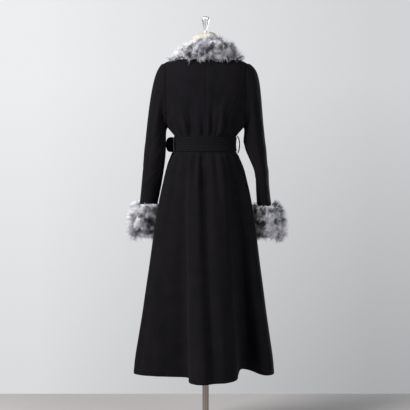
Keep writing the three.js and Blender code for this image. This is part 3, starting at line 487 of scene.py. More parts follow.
# Stainless steel tube and plate, brushed: fine lines that spread the gloss, warmer where handled
steels = {
    "brushedSteelTube": {
        "bright": "a8a096", "dull": "80786f", "roughness": (0.24, 0.42), "linesPerMetre": (700, 700, 12),
    },
    "brushedSteelPlate": {
        "bright": "a8a096", "dull": "80786f", "roughness": (0.26, 0.44), "linesPerMetre": (60, 60, 60),
    },
    "polishedSteelFinial": {
        "bright": "dfe1e0", "dull": "c9cccb", "roughness": (0.34, 0.46), "linesPerMetre": (300, 300, 20),
    },
    "oxidisedSteelWire": {
        "bright": "3c3832", "dull": "24211e", "roughness": (0.3, 0.5), "linesPerMetre": (300, 300, 300),
    },
}


brushing = {"depth": 0.2, "bump": 0.15, "wearPerMetre": 9.0}


def makeSteel(name):
    look = steels[name]
    material, add = startMaterial(name)
    place = add("ShaderNodeTexCoord").outputs["Object"]
    stretched = add("ShaderNodeMapping", {"Scale": look["linesPerMetre"]}, {"Vector": place})
    lines = add("ShaderNodeTexNoise", {"Scale": 1.0, "Detail": 4.0}, {"Vector": stretched})
    wear = add("ShaderNodeTexNoise", {"Scale": brushing["wearPerMetre"], "Detail": 5.0}, {"Vector": place})
    tint = add(
        "ShaderNodeMix", {"data_type": "RGBA", 6: colour(look["dull"]), 7: colour(look["bright"])}, {0: wear}
    )
    low, high = look["roughness"]
    rough = add("ShaderNodeMapRange", {"To Min": low, "To Max": high}, {"Value": lines})
    depth = brushing["depth"] * metre
    bump = add("ShaderNodeBump", {"Strength": brushing["bump"], "Distance": depth}, {"Height": lines})
    finishMaterial(
        add, {"Metallic": 1.0}, {"Base Color": tint.outputs[2], "Roughness": rough, "Normal": bump}
    )
    return material


# Spun polyester thread, glossier and paler than the wool that it lies on, and matt studio floor paint.
# Both are only mottled a little, the thread by its twist and the paint by scuffs.
mottledLooks = {
    "polyesterThread": {
        "dark": "121014", "light": "2a272c", "perMetre": 900.0, "detail": 2.0,
        "roughness": 0.6, "gloss": 0.15,
    },
    "floorPaint": {
        "dark": "a7a5a5", "light": "b0aeae", "perMetre": 3.0, "detail": 6.0,
        "roughness": 0.7, "gloss": 0.5,
    },
}


def makeThreadOrPaint(name):
    look = mottledLooks[name]
    material, add = startMaterial(name)
    place = add("ShaderNodeTexCoord").outputs["Object"]
    mottle = add(
        "ShaderNodeTexNoise", {"Scale": look["perMetre"], "Detail": look["detail"]}, {"Vector": place}
    )
    tint = add(
        "ShaderNodeMix", {"data_type": "RGBA", 6: colour(look["dark"]), 7: colour(look["light"])}, {0: mottle}
    )
    finishMaterial(
        add, {"Roughness": look["roughness"], "Specular IOR Level": look["gloss"]},
        {"Base Color": tint.outputs[2]},
    )
    return material


melton = makeMelton("woolMelton")
darkerMelton = makeMelton("woolMeltonDarker")
fur = makeFur()
jersey = makeJersey()
poleSteel = makeSteel("brushedSteelTube")
baseSteel = makeSteel("brushedSteelPlate")
finialSteel = makeSteel("polishedSteelFinial")
wireSteel = makeSteel("oxidisedSteelWire")
thread = makeThreadOrPaint("polyesterThread")
floorPaint = makeThreadOrPaint("floorPaint")
print("materials ready")


# A grid of points, in mm, becomes a piece. A closed one joins its last column to its first,
# and a capped one is shut at both ends.
def gridObject(name, grid, material, closed=False, capped=False):
    rows, columns = grid.shape[:2]
    faces = []
    for r in range(rows - 1):
        for c in range(columns if closed else columns - 1):
            d = (c + 1) % columns
            faces.append((r * columns + c, r * columns + d, (r + 1) * columns + d, (r + 1) * columns + c))
    if capped:
        faces.append(tuple(range(columns))[::-1])
        faces.append(tuple((rows - 1) * columns + c for c in range(columns)))
    mesh = bpy.data.meshes.new(name)
    mesh.from_pydata((grid.reshape(-1, 3) * metre).tolist(), [], faces)
    mesh.materials.append(material)
    mesh.shade_smooth()
    mesh.update()
    piece = bpy.data.objects.new(name, mesh)
    bpy.context.scene.collection.objects.link(piece)
    return piece


# A cloth shell on a grid of its outer points
def clothShell(name, grid, wall, material, closed=False):
    piece = gridObject(name, grid, material, closed)
    solid = piece.modifiers.new("wall", "SOLIDIFY")
    solid.thickness = wall * metre
    solid.offset = -1
    solid.use_rim = True
    return piece


def clothArea(grid, closed=False):
    across = (np.roll(grid, -1, axis=1) if closed else grid[:, 1:]) - (grid if closed else grid[:, :-1])
    up = np.diff(grid, axis=0)
    return np.linalg.norm(np.cross(across[:-1], up[:, : across.shape[1]]), axis=-1).sum() * metre**2


# Every piece stands for a CAD node or rests on one that does. It hides the node that it stands for and rides
# on the one body; its material comes with its mesh
def joinFrame(piece, node=None):
    if node:
        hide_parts(node)
    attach(piece, "root")


# Body panels
panelSizes = {
    "wall": 2.2, "column": 9.0, "seamDepth": 0.7, "seamWidth": 2.2, "skirtSeam": 0.45,
    "puff": 0.5, "puffPlace": 6, "puffWidth": 3.5, "hemStitch": 22, "hemDepth": 0.7, "hemWidth": 1.6,
    "hemRoll": 0.8, "hemRollWidth": 1.8, "shortRow": 30, "waistFade": 60,
}
edgeColumns = [0, 1, 2.2, 4, 7]  # closer columns by the seams
armholeShares = (1 - np.cos(np.linspace(0, math.pi, 41))) / 2
armholeRows = armpitHeight + (shoulderTipHeight - armpitHeight) * armholeShares
hemRows = [231, 232.2, 234.5, 238, 243, 248, 251, 252.5, 253.5, 255, 258, 264]
skirtRows = list(range(273, 1037, 9)) + [1041, 1044.5]
waistRows = [1070, 1096.5, 1100, 1104, 1109, 1114, 1119, 1124]
shoulderRows = [1369, 1374, 1379, 1384, 1389, 1394, 1399, 1403.5, 1408]
bodyRows = np.array(hemRows + skirtRows + waistRows + list(armholeRows) + shoulderRows)


# The turn that takes up 1 mm of cloth
def degreesPerMm(angle, z):
    return 0.5 / np.linalg.norm(coatPoint(angle + 0.25, z) - coatPoint(angle - 0.25, z), axis=-1)


def halfSeam(angle, z):
    return seamGap / 2 * degreesPerMm(angle, z)


def sideEdge(z, base, part, turn):
    inArmhole = (z > armpitHeight) & (z < shoulderTipHeight)
    return base + turn * np.where(inArmhole, armholeAngle(z, part), halfSeam(base, z))


def princess(z, side, turn):
    angle = readRows(princessSeam[side], 1, z)
    return angle + turn * halfSeam(angle, z)


def frontEdge(z):
    return readRows(frontEdgeRight, 1, z)


# the edges that a panel runs between, its top, and whether it lies under the other front
sideTop = princessTop - 1
panelEdges = {
    "backCentreLeft": (
        lambda z: np.where(z < princessTop, princess(z, "left", 1), sideEdge(z, 0, "back", 1)),
        lambda z: 90 - halfSeam(90, z), neckHeight, False,
    ),
    "backCentreRight": (
        lambda z: 90 + halfSeam(90, z),
        lambda z: np.where(z < princessTop, princess(z, "right", -1), sideEdge(z, 180, "back", -1)),
        neckHeight, False,
    ),
    "backSideLeft": (lambda z: sideEdge(z, 0, "back", 1), lambda z: princess(z, "left", -1), sideTop, False),
    "backSideRight": (
        lambda z: princess(z, "right", 1), lambda z: sideEdge(z, 180, "back", -1), sideTop, False,
    ),
    "frontRight": (lambda z: sideEdge(z, 180, "front", 1), frontEdge, neckHeight, False),
    "frontLeft": (lambda z: 540 - frontEdge(z), lambda z: sideEdge(z, 360, "front", -1), neckHeight, True),
}
panelNodes = {
    "backCentreLeft": "back_centre_left", "backCentreRight": "back_centre_right",
    "backSideLeft": "back_side_left", "backSideRight": "back_side_right",
    "frontRight": "front_right", "frontLeft": "front_left",
}


# A panel's points, with closer columns by its edges for the seams
def panelGrid(fromEdge, toEdge, top, under):
    z = bodyRows[bodyRows <= top]
    if top not in z:
        z = np.append(z, top)
    start, end = fromEdge(z), toEdge(z)
    shares = np.linspace(0, 1, 121)
    fine = start[:, None] + shares * (end - start)[:, None]
    steps = np.linalg.norm(np.diff(coatPoint(fine, z[:, None], under), axis=1), axis=-1)
    lengths = np.concatenate((np.zeros((len(z), 1)), np.cumsum(steps, axis=1)), axis=1)
    width = lengths[:, -1]
    count = int(width[0] / panelSizes["column"])
    narrow = np.minimum(1, width / panelSizes["shortRow"])[:, None]
    edge = np.minimum(np.array(edgeColumns)[None] * narrow, width[:, None] / 3)
    inner = edge[:, -1:] + np.linspace(0, 1, count)[None, 1:-1] * (width[:, None] - 2 * edge[:, -1:])
    along = np.concatenate((edge, inner, width[:, None] - edge[:, ::-1]), axis=1)
    angle = np.stack([np.interp(along[r], lengths[r], fine[r]) for r in range(len(z))])
    height = z[:, None] + 0 * angle
    grid = coatPoint(angle, height, under)
    fromSeam = np.minimum(along, width[:, None] - along)
    out = bodyCrease(angle, height)
    clear = smoothStep(np.abs(height - waistHeight) / panelSizes["waistFade"])
    # pressed open, the seams sink less in the skirt than in the bodice
    inBodice = panelSizes["skirtSeam"] + (1 - panelSizes["skirtSeam"]) * smoothStep((height - 900) / 150)
    out = out - panelSizes["seamDepth"] * inBodice * bell(fromSeam, panelSizes["seamWidth"])
    puff = panelSizes["puff"] * bell(fromSeam - panelSizes["puffPlace"], panelSizes["puffWidth"])
    out = out + puff * clear * smoothStep((height - 850) / 200)
    fromHem = height - hemHeight
    out = out - panelSizes["hemDepth"] * bell(fromHem - panelSizes["hemStitch"], panelSizes["hemWidth"])
    out = out - panelSizes["hemRoll"] * bell(fromHem, panelSizes["hemRollWidth"])
    return grid + gridNormals(grid) * out[..., None], z


panels = {}
for name, edges in panelEdges.items():
    grid, heights = panelGrid(*edges)
    piece = clothShell(name, grid, panelSizes["wall"], melton)
    joinFrame(piece, panelNodes[name])
    panels[name] = (piece, grid, heights)
    print("panel", name, grid.shape, "area", round(clothArea(grid), 4))


# Sleeves: height, inner and outer edge seen from behind, centre and half depth in y
sleeveSections = {
    "left": [
        (742, 202, 258, -66, 48), (795, 191, 251, -57, 49), (850, 178, 244, -45, 51),
        (900, 167, 238, -32, 53), (940, 159, 234, -22, 54), (977, 153, 231, -14, 55),
        (1013, 148, 227, -9, 56), (1050, 145, 224, -7, 57), (1080, 144, 220, -6, 58),
    ],
    "right": [
        (742, 208, 263, -66, 49), (795, 198, 253, -57, 50), (850, 190, 243, -45, 52),
        (900, 186, 236, -33, 54), (940, 184, 232, -24, 55), (977, 177, 229, -16, 56),
        (1013, 162, 225, -10, 57), (1050, 146, 222, -7, 57), (1080, 138, 218, -6, 58),
    ],
}
# turn round the arm (0 outwards, 90 to the back) and height where a crease starts and ends, stand, width
sleeveCreases = {
    "left": [
        (132, 1300, 142, 1085, -9.0, 13), (92, 1300, 88, 1060, 4.0, 12), (70, 1250, 60, 900, -3.0, 9),
        (110, 1120, 30, 1020, -2.6, 9), (150, 1075, 70, 985, 2.4, 9), (60, 1180, 20, 1080, 1.8, 12),
        (160, 1010, 60, 950, -2.8, 8), (120, 985, 20, 905, 2.4, 9), (175, 960, 95, 890, -2.4, 8),
        (40, 1290, 70, 1180, -1.6, 13), (95, 900, 20, 860, -2.0, 7), (150, 930, 110, 850, 2.0, 8),
        (10, 1000, -30, 880, -1.8, 11), (-60, 1120, -20, 1010, 2.2, 10), (-150, 1070, -60, 990, -2.6, 9),
        (-120, 1010, -30, 940, 2.4, 9), (-160, 975, -80, 890, -2.4, 8), (-70, 920, -10, 855, 2.0, 8),
    ],
    "right": [
        (134, 1290, 144, 1090, -8.0, 13), (94, 1290, 88, 1070, 3.2, 12), (66, 1240, 58, 920, -2.6, 9),
        (100, 1110, 25, 1005, -2.6, 9), (155, 1085, 80, 1000, 2.6, 8), (65, 1190, 15, 1095, 1.8, 12),
        (150, 1020, 50, 945, -2.6, 9), (115, 970, 30, 900, 2.4, 8), (170, 950, 100, 880, -2.2, 8),
        (35, 1280, 60, 1175, -1.8, 12), (80, 905, 10, 858, -2.0, 8), (140, 915, 100, 845, 1.8, 8),
        (5, 990, -35, 890, 1.8, 11), (-65, 1130, -25, 1015, -2.2, 10), (-145, 1080, -65, 1000, 2.4, 9),
        (-115, 1000, -35, 935, -2.6, 9), (-165, 960, -85, 895, 2.2, 8), (-75, 910, -15, 850, -1.8, 8),
    ],
}
sleeveSizes = {
    "wall": 2.2, "wrist": 742, "capEnd": 1080, "capRows": 34, "armStep": 6, "underReach": 12,
    "seamDepth": 1.0, "seamWidth": 2.4, "armholeWidth": 2.5, "headPuff": 1.4, "puffPlace": 11,
    "puffWidth": 7, "mmPerDegree": 0.82, "creaseStart": 6, "creaseFade": 30, "inwards": 0.35,
}
capHandles = {
    "left": {"armpitOut": 9, "tipOut": 38, "armpitUp": 22, "tipUp": 172, "lean": 0.1},
    "right": {"armpitOut": 9, "tipOut": 62, "armpitUp": 22, "tipUp": 172, "lean": 0.13},
}


def sleevePoint(arm, z, around):
    inner, outer, centre, depth = (readRows(sleeveSections[arm], c, z) for c in (1, 2, 3, 4))
    side = 1 if arm == "left" else -1
    x = (inner + outer) / 2 + (outer - inner) / 2 * np.cos(around)
    return np.stack(np.broadcast_arrays(side * x, centre + side * depth * np.sin(around), z), axis=-1)


# The sleeve's points from the armhole's edge to the wrist, and how far round the arm each column is
def sleeveGrid(arm):
    side = 1 if arm == "left" else -1
    inside = armholeRows[1:-1]
    climb, descend = ("back", "front") if arm == "left" else ("front", "back")
    turn = {"back": 1, "front": -1}
    z = np.concatenate(([armpitHeight], inside, [shoulderTipHeight], inside[::-1]))
    up = turn[climb] * armholeAngle(inside, climb)
    down = turn[descend] * armholeAngle(inside[::-1], descend)
    angle = np.concatenate(([0], up, [0], down))
    angle = angle if arm == "left" else 180 - angle
    edge, normals = coatPoint(angle, z), coatNormal(angle, z)
    into = unit(np.cross(normals, np.roll(edge, -1, axis=0) - np.roll(edge, 1, axis=0)))
    steps = np.linalg.norm(np.roll(edge, -1, axis=0) - edge, axis=1)
    lengths = np.concatenate(([0], np.cumsum(steps)))
    tip, count = len(z) // 2, len(z)
    climbed = lengths[:-1] / lengths[tip]
    descended = (lengths[:-1] - lengths[tip]) / (lengths[count] - lengths[tip])
    half = np.where(np.arange(count) <= tip, climbed, 1 + descended)
    around = math.pi * (1 - half)
    start = edge + into * seamGap
    height = (1 - np.abs(1 - half))[:, None]
    end = sleevePoint(arm, sleeveSizes["capEnd"], around)
    out = unit(np.array([side, 0, 0]) + into * sleeveSizes["inwards"])
    cap = capHandles[arm]
    leave = start + out * (cap["armpitOut"] + height * (cap["tipOut"] - cap["armpitOut"]))
    upwards = np.concatenate((-side * cap["lean"] * height, 0 * height, 1 + 0 * height), axis=1)
    arrive = end + upwards * (cap["armpitUp"] + height * (cap["tipUp"] - cap["armpitUp"]))
    t = np.linspace(0, 1, sleeveSizes["capRows"])[:, None, None] ** 1.15
    capRows = (1 - t) ** 3 * start + 3 * (1 - t) ** 2 * t * leave + 3 * (1 - t) * t**2 * arrive + t**3 * end
    step = sleeveSizes["armStep"]
    heights = range(sleeveSizes["capEnd"] - step, sleeveSizes["wrist"] - 1, -step)
    armRows = np.array([sleevePoint(arm, z, around) for z in heights])
    grid = np.concatenate((capRows, armRows))
    normal = gridNormals(grid, closed=True)
    normal[0] = normals
    rowSteps = np.linalg.norm(np.diff(grid, axis=0), axis=-1)
    fromArmhole = np.concatenate((np.zeros((1, count)), np.cumsum(rowSteps, axis=0)))
    back = np.degrees(around) * side
    crease = creaseAt(sleeveCreases[arm], back[None], grid[..., 2], sleeveSizes["mmPerDegree"])
    crease = crease * smoothStep((fromArmhole - sleeveSizes["creaseStart"]) / sleeveSizes["creaseFade"])
    out = crease - sleeveSizes["seamDepth"] * bell(fromArmhole, sleeveSizes["armholeWidth"])
    puff = bell(fromArmhole - sleeveSizes["puffPlace"], sleeveSizes["puffWidth"])
    out = out + sleeveSizes["headPuff"] * height.T * puff
    reach = sleeveSizes["underReach"]
    for seam in (reach, count - reach):
        away = np.linalg.norm(grid - grid[:, seam : seam + 1], axis=-1)
        out = out - sleeveSizes["seamDepth"] * bell(away, sleeveSizes["seamWidth"])
    return grid + normal * out[..., None]


for arm in ("left", "right"):
    grid = sleeveGrid(arm)
    count, reach = grid.shape[1], sleeveSizes["underReach"]
    parts = {
        "underSleeve": (np.arange(-reach, reach + 1) % count, f"under_sleeve_{arm}"),
        "topSleeve": (np.arange(reach, count - reach + 1), f"top_sleeve_{arm}"),
    }
    for name, (columns, node) in parts.items():
        part = grid[:, columns].copy()
        part[:, 0] += unit(part[:, 1] - part[:, 0]) * seamGap / 2
        part[:, -1] += unit(part[:, -2] - part[:, -1]) * seamGap / 2
        piece = clothShell(name + arm.capitalize(), part, sleeveSizes["wall"], melton)
        joinFrame(piece, node)
        panels[piece.name] = (piece, part, None)
        print("sleeve", piece.name, part.shape, "area", round(clothArea(part), 4))


# The belt, its knot, ends and thread loops
beltSizes = {
    "columns": 190, "rows": 52, "quiltRows": 8, "quilt": 6.4, "quiltMargin": 3.4, "quiltDepth": 0.55,
    "quiltWidth": 0.9, "edgeRoll": 0.7, "edgeRollWidth": 1.3, "swell": 0.6, "sag": 0.8, "shell": 2.4,
}
quiltHeights = np.linspace(
    beltBottom + beltSizes["quiltMargin"], beltTop - beltSizes["quiltMargin"], beltSizes["quiltRows"]
)
quiltOffsets = beltSizes["quilt"] * (np.arange(beltSizes["quiltRows"]) - (beltSizes["quiltRows"] - 1) / 2)


# Rows of topstitching press fine grooves across the belt
def quilting(across, rows):
    return -beltSizes["quiltDepth"] * sum(bell(across - row, beltSizes["quiltWidth"]) for row in rows)


def beltPoint(angle, z, over):
    point = coatPoint(angle, z)
    reach = np.hypot(point[..., 0], point[..., 1])[..., None]
    flat = point[..., :2] * (reach + np.asarray(over)[..., None]) / reach
    return np.concatenate((flat, np.broadcast_to(z, reach.shape[:-1])[..., None]), axis=-1)


angle = np.linspace(0, 360, beltSizes["columns"], endpoint=False)[None]
z = np.linspace(beltBottom, beltTop, beltSizes["rows"])[:, None]
fromEdge = np.minimum(z - beltBottom, beltTop - z)
swell = 0.5 * np.sin(np.radians(angle * 5 + 40)) + 0.35 * np.sin(np.radians(angle * 11 + 10))
over = layerGap + beltWall + quilting(z, quiltHeights) + beltSizes["swell"] * np.clip(swell, -0.2, 1)
over = over - beltSizes["edgeRoll"] * bell(fromEdge, beltSizes["edgeRollWidth"])
beltGrid = beltPoint(angle, z, over)
unevenness = 0.6 + 0.4 * np.sin(np.radians(angle * 7))
beltGrid[..., 2] += beltSizes["sag"] * np.sin(np.radians(angle * 2 + 70)) * unevenness
belt = clothShell("beltBand", beltGrid, beltSizes["shell"], darkerMelton, closed=True)
joinFrame(belt, "belt_band")

# angles at the top and the bottom, height of the tip, and how far over the coat
beltEnds = {
    "beltEndLong": {"node": "belt_end_long", "top": 331, "bottom": 315, "low": 640, "over": 1.9},
    "beltEndShort": {"node": "belt_end_short", "top": 341, "bottom": 324, "low": 735, "over": 6.3},
}
beltEndSizes = {"width": 48, "columns": 45, "rows": 110, "ripple": 1.3}
endGrids = {}
for name, end in beltEnds.items():
    top, width = beltBottom - 3, beltEndSizes["width"]
    heights = np.linspace(end["low"], top, beltEndSizes["rows"])
    share = ((heights - end["low"]) / (top - end["low"]))[:, None]
    middle = end["bottom"] + share[:, 0] * (end["top"] - end["bottom"])
    half = width / 2 * degreesPerMm(middle, heights)
    across = np.linspace(-1, 1, beltEndSizes["columns"])[None]
    angle = middle[:, None] + half[:, None] * across
    height = heights[:, None] + 0 * angle
    fromMiddle = across * width / 2
    fromEdge = np.minimum(width / 2 - np.abs(fromMiddle), height - end["low"])
    ripple = beltEndSizes["ripple"] * (1 + np.sin(share * 17 - 1)) * 0.5 * smoothStep((1 - share) / 0.3)
    over = end["over"] + beltWall + quilting(fromMiddle, quiltOffsets)
    over = over + np.maximum(bodyCrease(angle, height), 0) + ripple
    over = over - beltSizes["edgeRoll"] * bell(fromEdge, beltSizes["edgeRollWidth"])
    grid = coatOffset(angle, height, over)
    piece = clothShell(name, grid, beltSizes["shell"], darkerMelton)
    joinFrame(piece, end["node"])
    endGrids[name] = (piece, grid)
    print("belt end", name, "area", round(clothArea(grid), 4))

knotSizes = {
    "angle": 346, "out": 18.5, "along": 27.5, "up": 28, "round": 2.6, "bandHalf": 12.5, "bandOver": 0.075,
    "bandFade": 2.5, "fold": 7.5, "foldDepth": 0.02, "wrapFold": 0.7, "sideShare": 0.9, "flatness": 0.96,
    "narrowing": 0.16, "clear": 0.4, "rows": 60, "columns": 96,
}


# The knot: the belt's two ends drawn in from the sides, with one band wrapped over them
def makeKnot():
    seat = coatPoint(knotSizes["angle"], waistHeight)
    normal = coatNormal(knotSizes["angle"], waistHeight)
    centre = seat + normal * (layerGap + beltWall + knotSizes["clear"] + knotSizes["out"])
    side = unit(np.cross([0, 0, 1], normal))
    upwards = np.cross(normal, side)
    polar = np.linspace(0.03, math.pi - 0.03, knotSizes["rows"])[:, None]
    turn = np.linspace(0, 2 * math.pi, knotSizes["columns"], endpoint=False)[None]
    a, b, c = np.cos(polar) + 0 * turn, np.sin(polar) * np.cos(turn), np.sin(polar) * np.sin(turn)
    power = knotSizes["round"]
    reach = (np.abs(a) ** power + np.abs(b) ** power + np.abs(c) ** power) ** (-1 / power)
    depth, along, rise = (
        direction * reach * knotSizes[name] for direction, name in ((a, "out"), (b, "along"), (c, "up"))
    )
    band = smoothStep((knotSizes["bandHalf"] - np.abs(along)) / knotSizes["bandFade"])
    wrapFolds = knotSizes["wrapFold"] * np.sin((along + 0.25 * rise) * 2 * math.pi / knotSizes["fold"])
    sideFolds = np.sin((rise + 0.35 * np.abs(along)) * 2 * math.pi / (knotSizes["fold"] + 1))
    folds = (band * wrapFolds + (1 - band) * sideFolds) * knotSizes["foldDepth"]
    shrink = knotSizes["sideShare"] + band * knotSizes["bandOver"] + folds
    narrow = 1 - knotSizes["narrowing"] * smoothStep((np.abs(along) - 12) / 8) * smoothStep(np.abs(rise) / 20)
    flat = along * knotSizes["flatness"]
    points = centre + normal * (depth * shrink)[..., None] + side * flat[..., None]
    points = points + upwards * (rise * shrink * narrow)[..., None]
    return gridObject("beltKnot", points[::-1], darkerMelton, closed=True, capped=True)


knot = makeKnot()
joinFrame(knot, "belt_knot")

# each loop's angle and how far it stands off the belt
loopSizes = {
    "radius": 2.2, "halfHeight": 33, "twists": 9, "rings": 70, "sides": 10, "endClear": 0.5, "upright": 0.3,
    "left": (14, 6), "right": (181, 9),
}


# A thread loop, two strands twisted round each other from above the belt to below it
def makeLoop(side):
    angle, stand = loopSizes[side]
    shares = np.linspace(-1, 1, loopSizes["rings"])
    over = layerGap + beltWall + 0.1 + stand
    out = loopSizes["radius"] + loopSizes["endClear"] + over * np.cos(shares * math.pi / 2).clip(0, 1) ** 0.7
    path = coatOffset(angle + 0 * shares, waistHeight + shares * loopSizes["halfHeight"], out)
    upright = loopSizes["upright"] * smoothStep((1 - np.abs(shares)) / 0.3)[:, None]
    path[:, :2] += upright * (path[loopSizes["rings"] // 2, :2] - path[:, :2])
    tangent = unit(np.gradient(path, axis=0))
    first = unit(np.cross(tangent, [0, 0, 1.0]) + 1e-6)
    second = np.cross(tangent, first)
    turn = np.linspace(0, 2 * math.pi, loopSizes["sides"], endpoint=False)[None]
    twist = (shares[:, None] + 1) * loopSizes["twists"] * math.pi
    radius = loopSizes["radius"] * (0.85 + 0.2 * np.abs(np.cos(turn - twist / 2)))
    grid = path[:, None] + first[:, None] * (radius * np.cos(turn))[..., None]
    grid = grid + second[:, None] * (radius * np.sin(turn))[..., None]
    return gridObject("beltLoop" + side.capitalize(), grid, thread, closed=True, capped=True)


for side in ("left", "right"):
    joinFrame(makeLoop(side), f"belt_loop_{side}")
print("belt tied")


# Starts a node tree that takes a geometry and named values. A modifier sets a value by its identifier.
def startTree(name, taken, values, made):
    tree = bpy.data.node_groups.new(name, "GeometryNodeTree")
    tree.interface.new_socket(name=taken, in_out="INPUT", socket_type="NodeSocketGeometry")
    identifiers = {}
    for label, value in values.items():
        kind = "NodeSocketInt" if isinstance(value, int) else "NodeSocketFloat"
        socket = tree.interface.new_socket(name=label, in_out="INPUT", socket_type=kind)
        socket.default_value = value
        identifiers[label] = socket.identifier
    tree.interface.new_socket(name=made, in_out="OUTPUT", socket_type="NodeSocketGeometry")
    add = partial(addNode, tree)
    return tree, identifiers, add, add("NodeGroupInput").outputs


# Runs a node tree on a piece and keeps the result as its plain mesh
def bakeTree(piece, tree, identifiers, values):
    modifier = piece.modifiers.new(tree.name, "NODES")
    modifier.node_group = tree
    for label, value in values.items():
        modifier[identifiers[label]] = value
    bpy.context.view_layer.update()
    graph = bpy.context.evaluated_depsgraph_get()
    result = bpy.data.meshes.new_from_object(
        piece.evaluated_get(graph), preserve_all_data_layers=True, depsgraph=graph
    )
    piece.modifiers.remove(modifier)
    piece.data = result


# Topstitching, by Geometry Nodes along lines on the cloth, with sizes in metres
stitchSizes = {"Pitch": 0.0042, "Stitch Length": 0.003, "Thread Radius": 0.00042}
stitchLift = 0.15


def stitchTree():
    tree, identifiers, add, given = startTree("topstitching", "Line", stitchSizes, "Stitches")
    line = add("GeometryNodeMeshToCurve", links={"Mesh": given["Line"]})
    even = add("GeometryNodeResampleCurve", {"mode": "LENGTH"}, {"Curve": line, "Length": given["Pitch"]})
    tangent = add("GeometryNodeInputTangent")
    lie = add("FunctionNodeAlignRotationToVector", {"axis": "X"}, {"Vector": tangent})
    halfLength = add("ShaderNodeMath", {"operation": "MULTIPLY", 1: 0.5}, {0: given["Stitch Length"]})
    radius = given["Thread Radius"]
    size = add("ShaderNodeCombineXYZ", links={"X": halfLength, "Y": radius, "Z": radius})
    stitch = add("GeometryNodeMeshUVSphere", {"Segments": 5, "Rings": 3, "Radius": 1.0})
    laid = add(
        "GeometryNodeInstanceOnPoints",
        links={"Points": even, "Instance": stitch, "Rotation": lie, "Scale": size},
    )
    real = add("GeometryNodeRealizeInstances", links={"Geometry": laid})
    finish = add("GeometryNodeSetMaterial", {"Material": thread}, {"Geometry": real})
    add("NodeGroupOutput", links={"Stitches": finish})
    return tree, identifiers


stitching, stitchInputs = stitchTree()


def stitchLines(name, lines, closed=False):
    points, edges = [], []
    for line in lines:
        first = len(points)
        points.extend((line * metre).tolist())
        edges.extend((first + k, first + k + 1) for k in range(len(line) - 1))
        if closed:
            edges.append((first + len(line) - 1, first))
    mesh = bpy.data.meshes.new(name)
    mesh.from_pydata(points, edges, [])
    piece = bpy.data.objects.new(name, mesh)
    bpy.context.scene.collection.objects.link(piece)
    bakeTree(piece, stitching, stitchInputs, stitchSizes)
    joinFrame(piece)
    print("stitches", name, len(piece.data.polygons))
    return piece


def rowNear(values, at):
    return int(np.argmin(np.abs(values - at)))


beltRows = np.linspace(beltBottom, beltTop, beltSizes["rows"])
proud = [1.0012, 1.0012, 1]
beltLines = [beltGrid[rowNear(beltRows, row)] * proud for row in quiltHeights]
beltStitches = stitchLines("beltStitches", beltLines, closed=True)
hemLines = []
for piece, grid, heights in panels.values():
    if heights is not None:
        row = rowNear(heights, hemHeight + panelSizes["hemStitch"])
        hemLines.append(grid[row] + gridNormals(grid)[row] * stitchLift)
hemStitches = stitchLines("hemStitches", hemLines)
endStitches = {}
for name, (piece, grid) in endGrids.items():
    lifted = (grid + gridNormals(grid) * stitchLift)[2:]
    lastColumn = beltEndSizes["columns"] - 1
    columns = [round((offset / beltEndSizes["width"] + 0.5) * lastColumn) for offset in quiltOffsets]
    endStitches[name] = stitchLines(name + "Stitches", [lifted[:, column] for column in columns])


# Fur, by Geometry Nodes: tapered hairs rooted on the backing and drawn together in locks, in metres
collarFur = {
    "Hairs Per Square Metre": 260000.0, "Hair Length": 0.027, "Hair Radius": 0.0007,
    "Stand": 0.8, "Droop": 0.28, "Locks": 1.25, "Lock Size": 0.022, "Seed": 5,
}
cuffFur = {
    **collarFur, "Hairs Per Square Metre": 240000.0,
    "Stand": 0.85, "Droop": 0.32, "Locks": 1.3, "Lock Size": 0.02,
}
hairForm = {"stray": 0.28, "lockPull": 4.0, "curl": 7.0, "shortest": 0.6, "longest": 1.15}


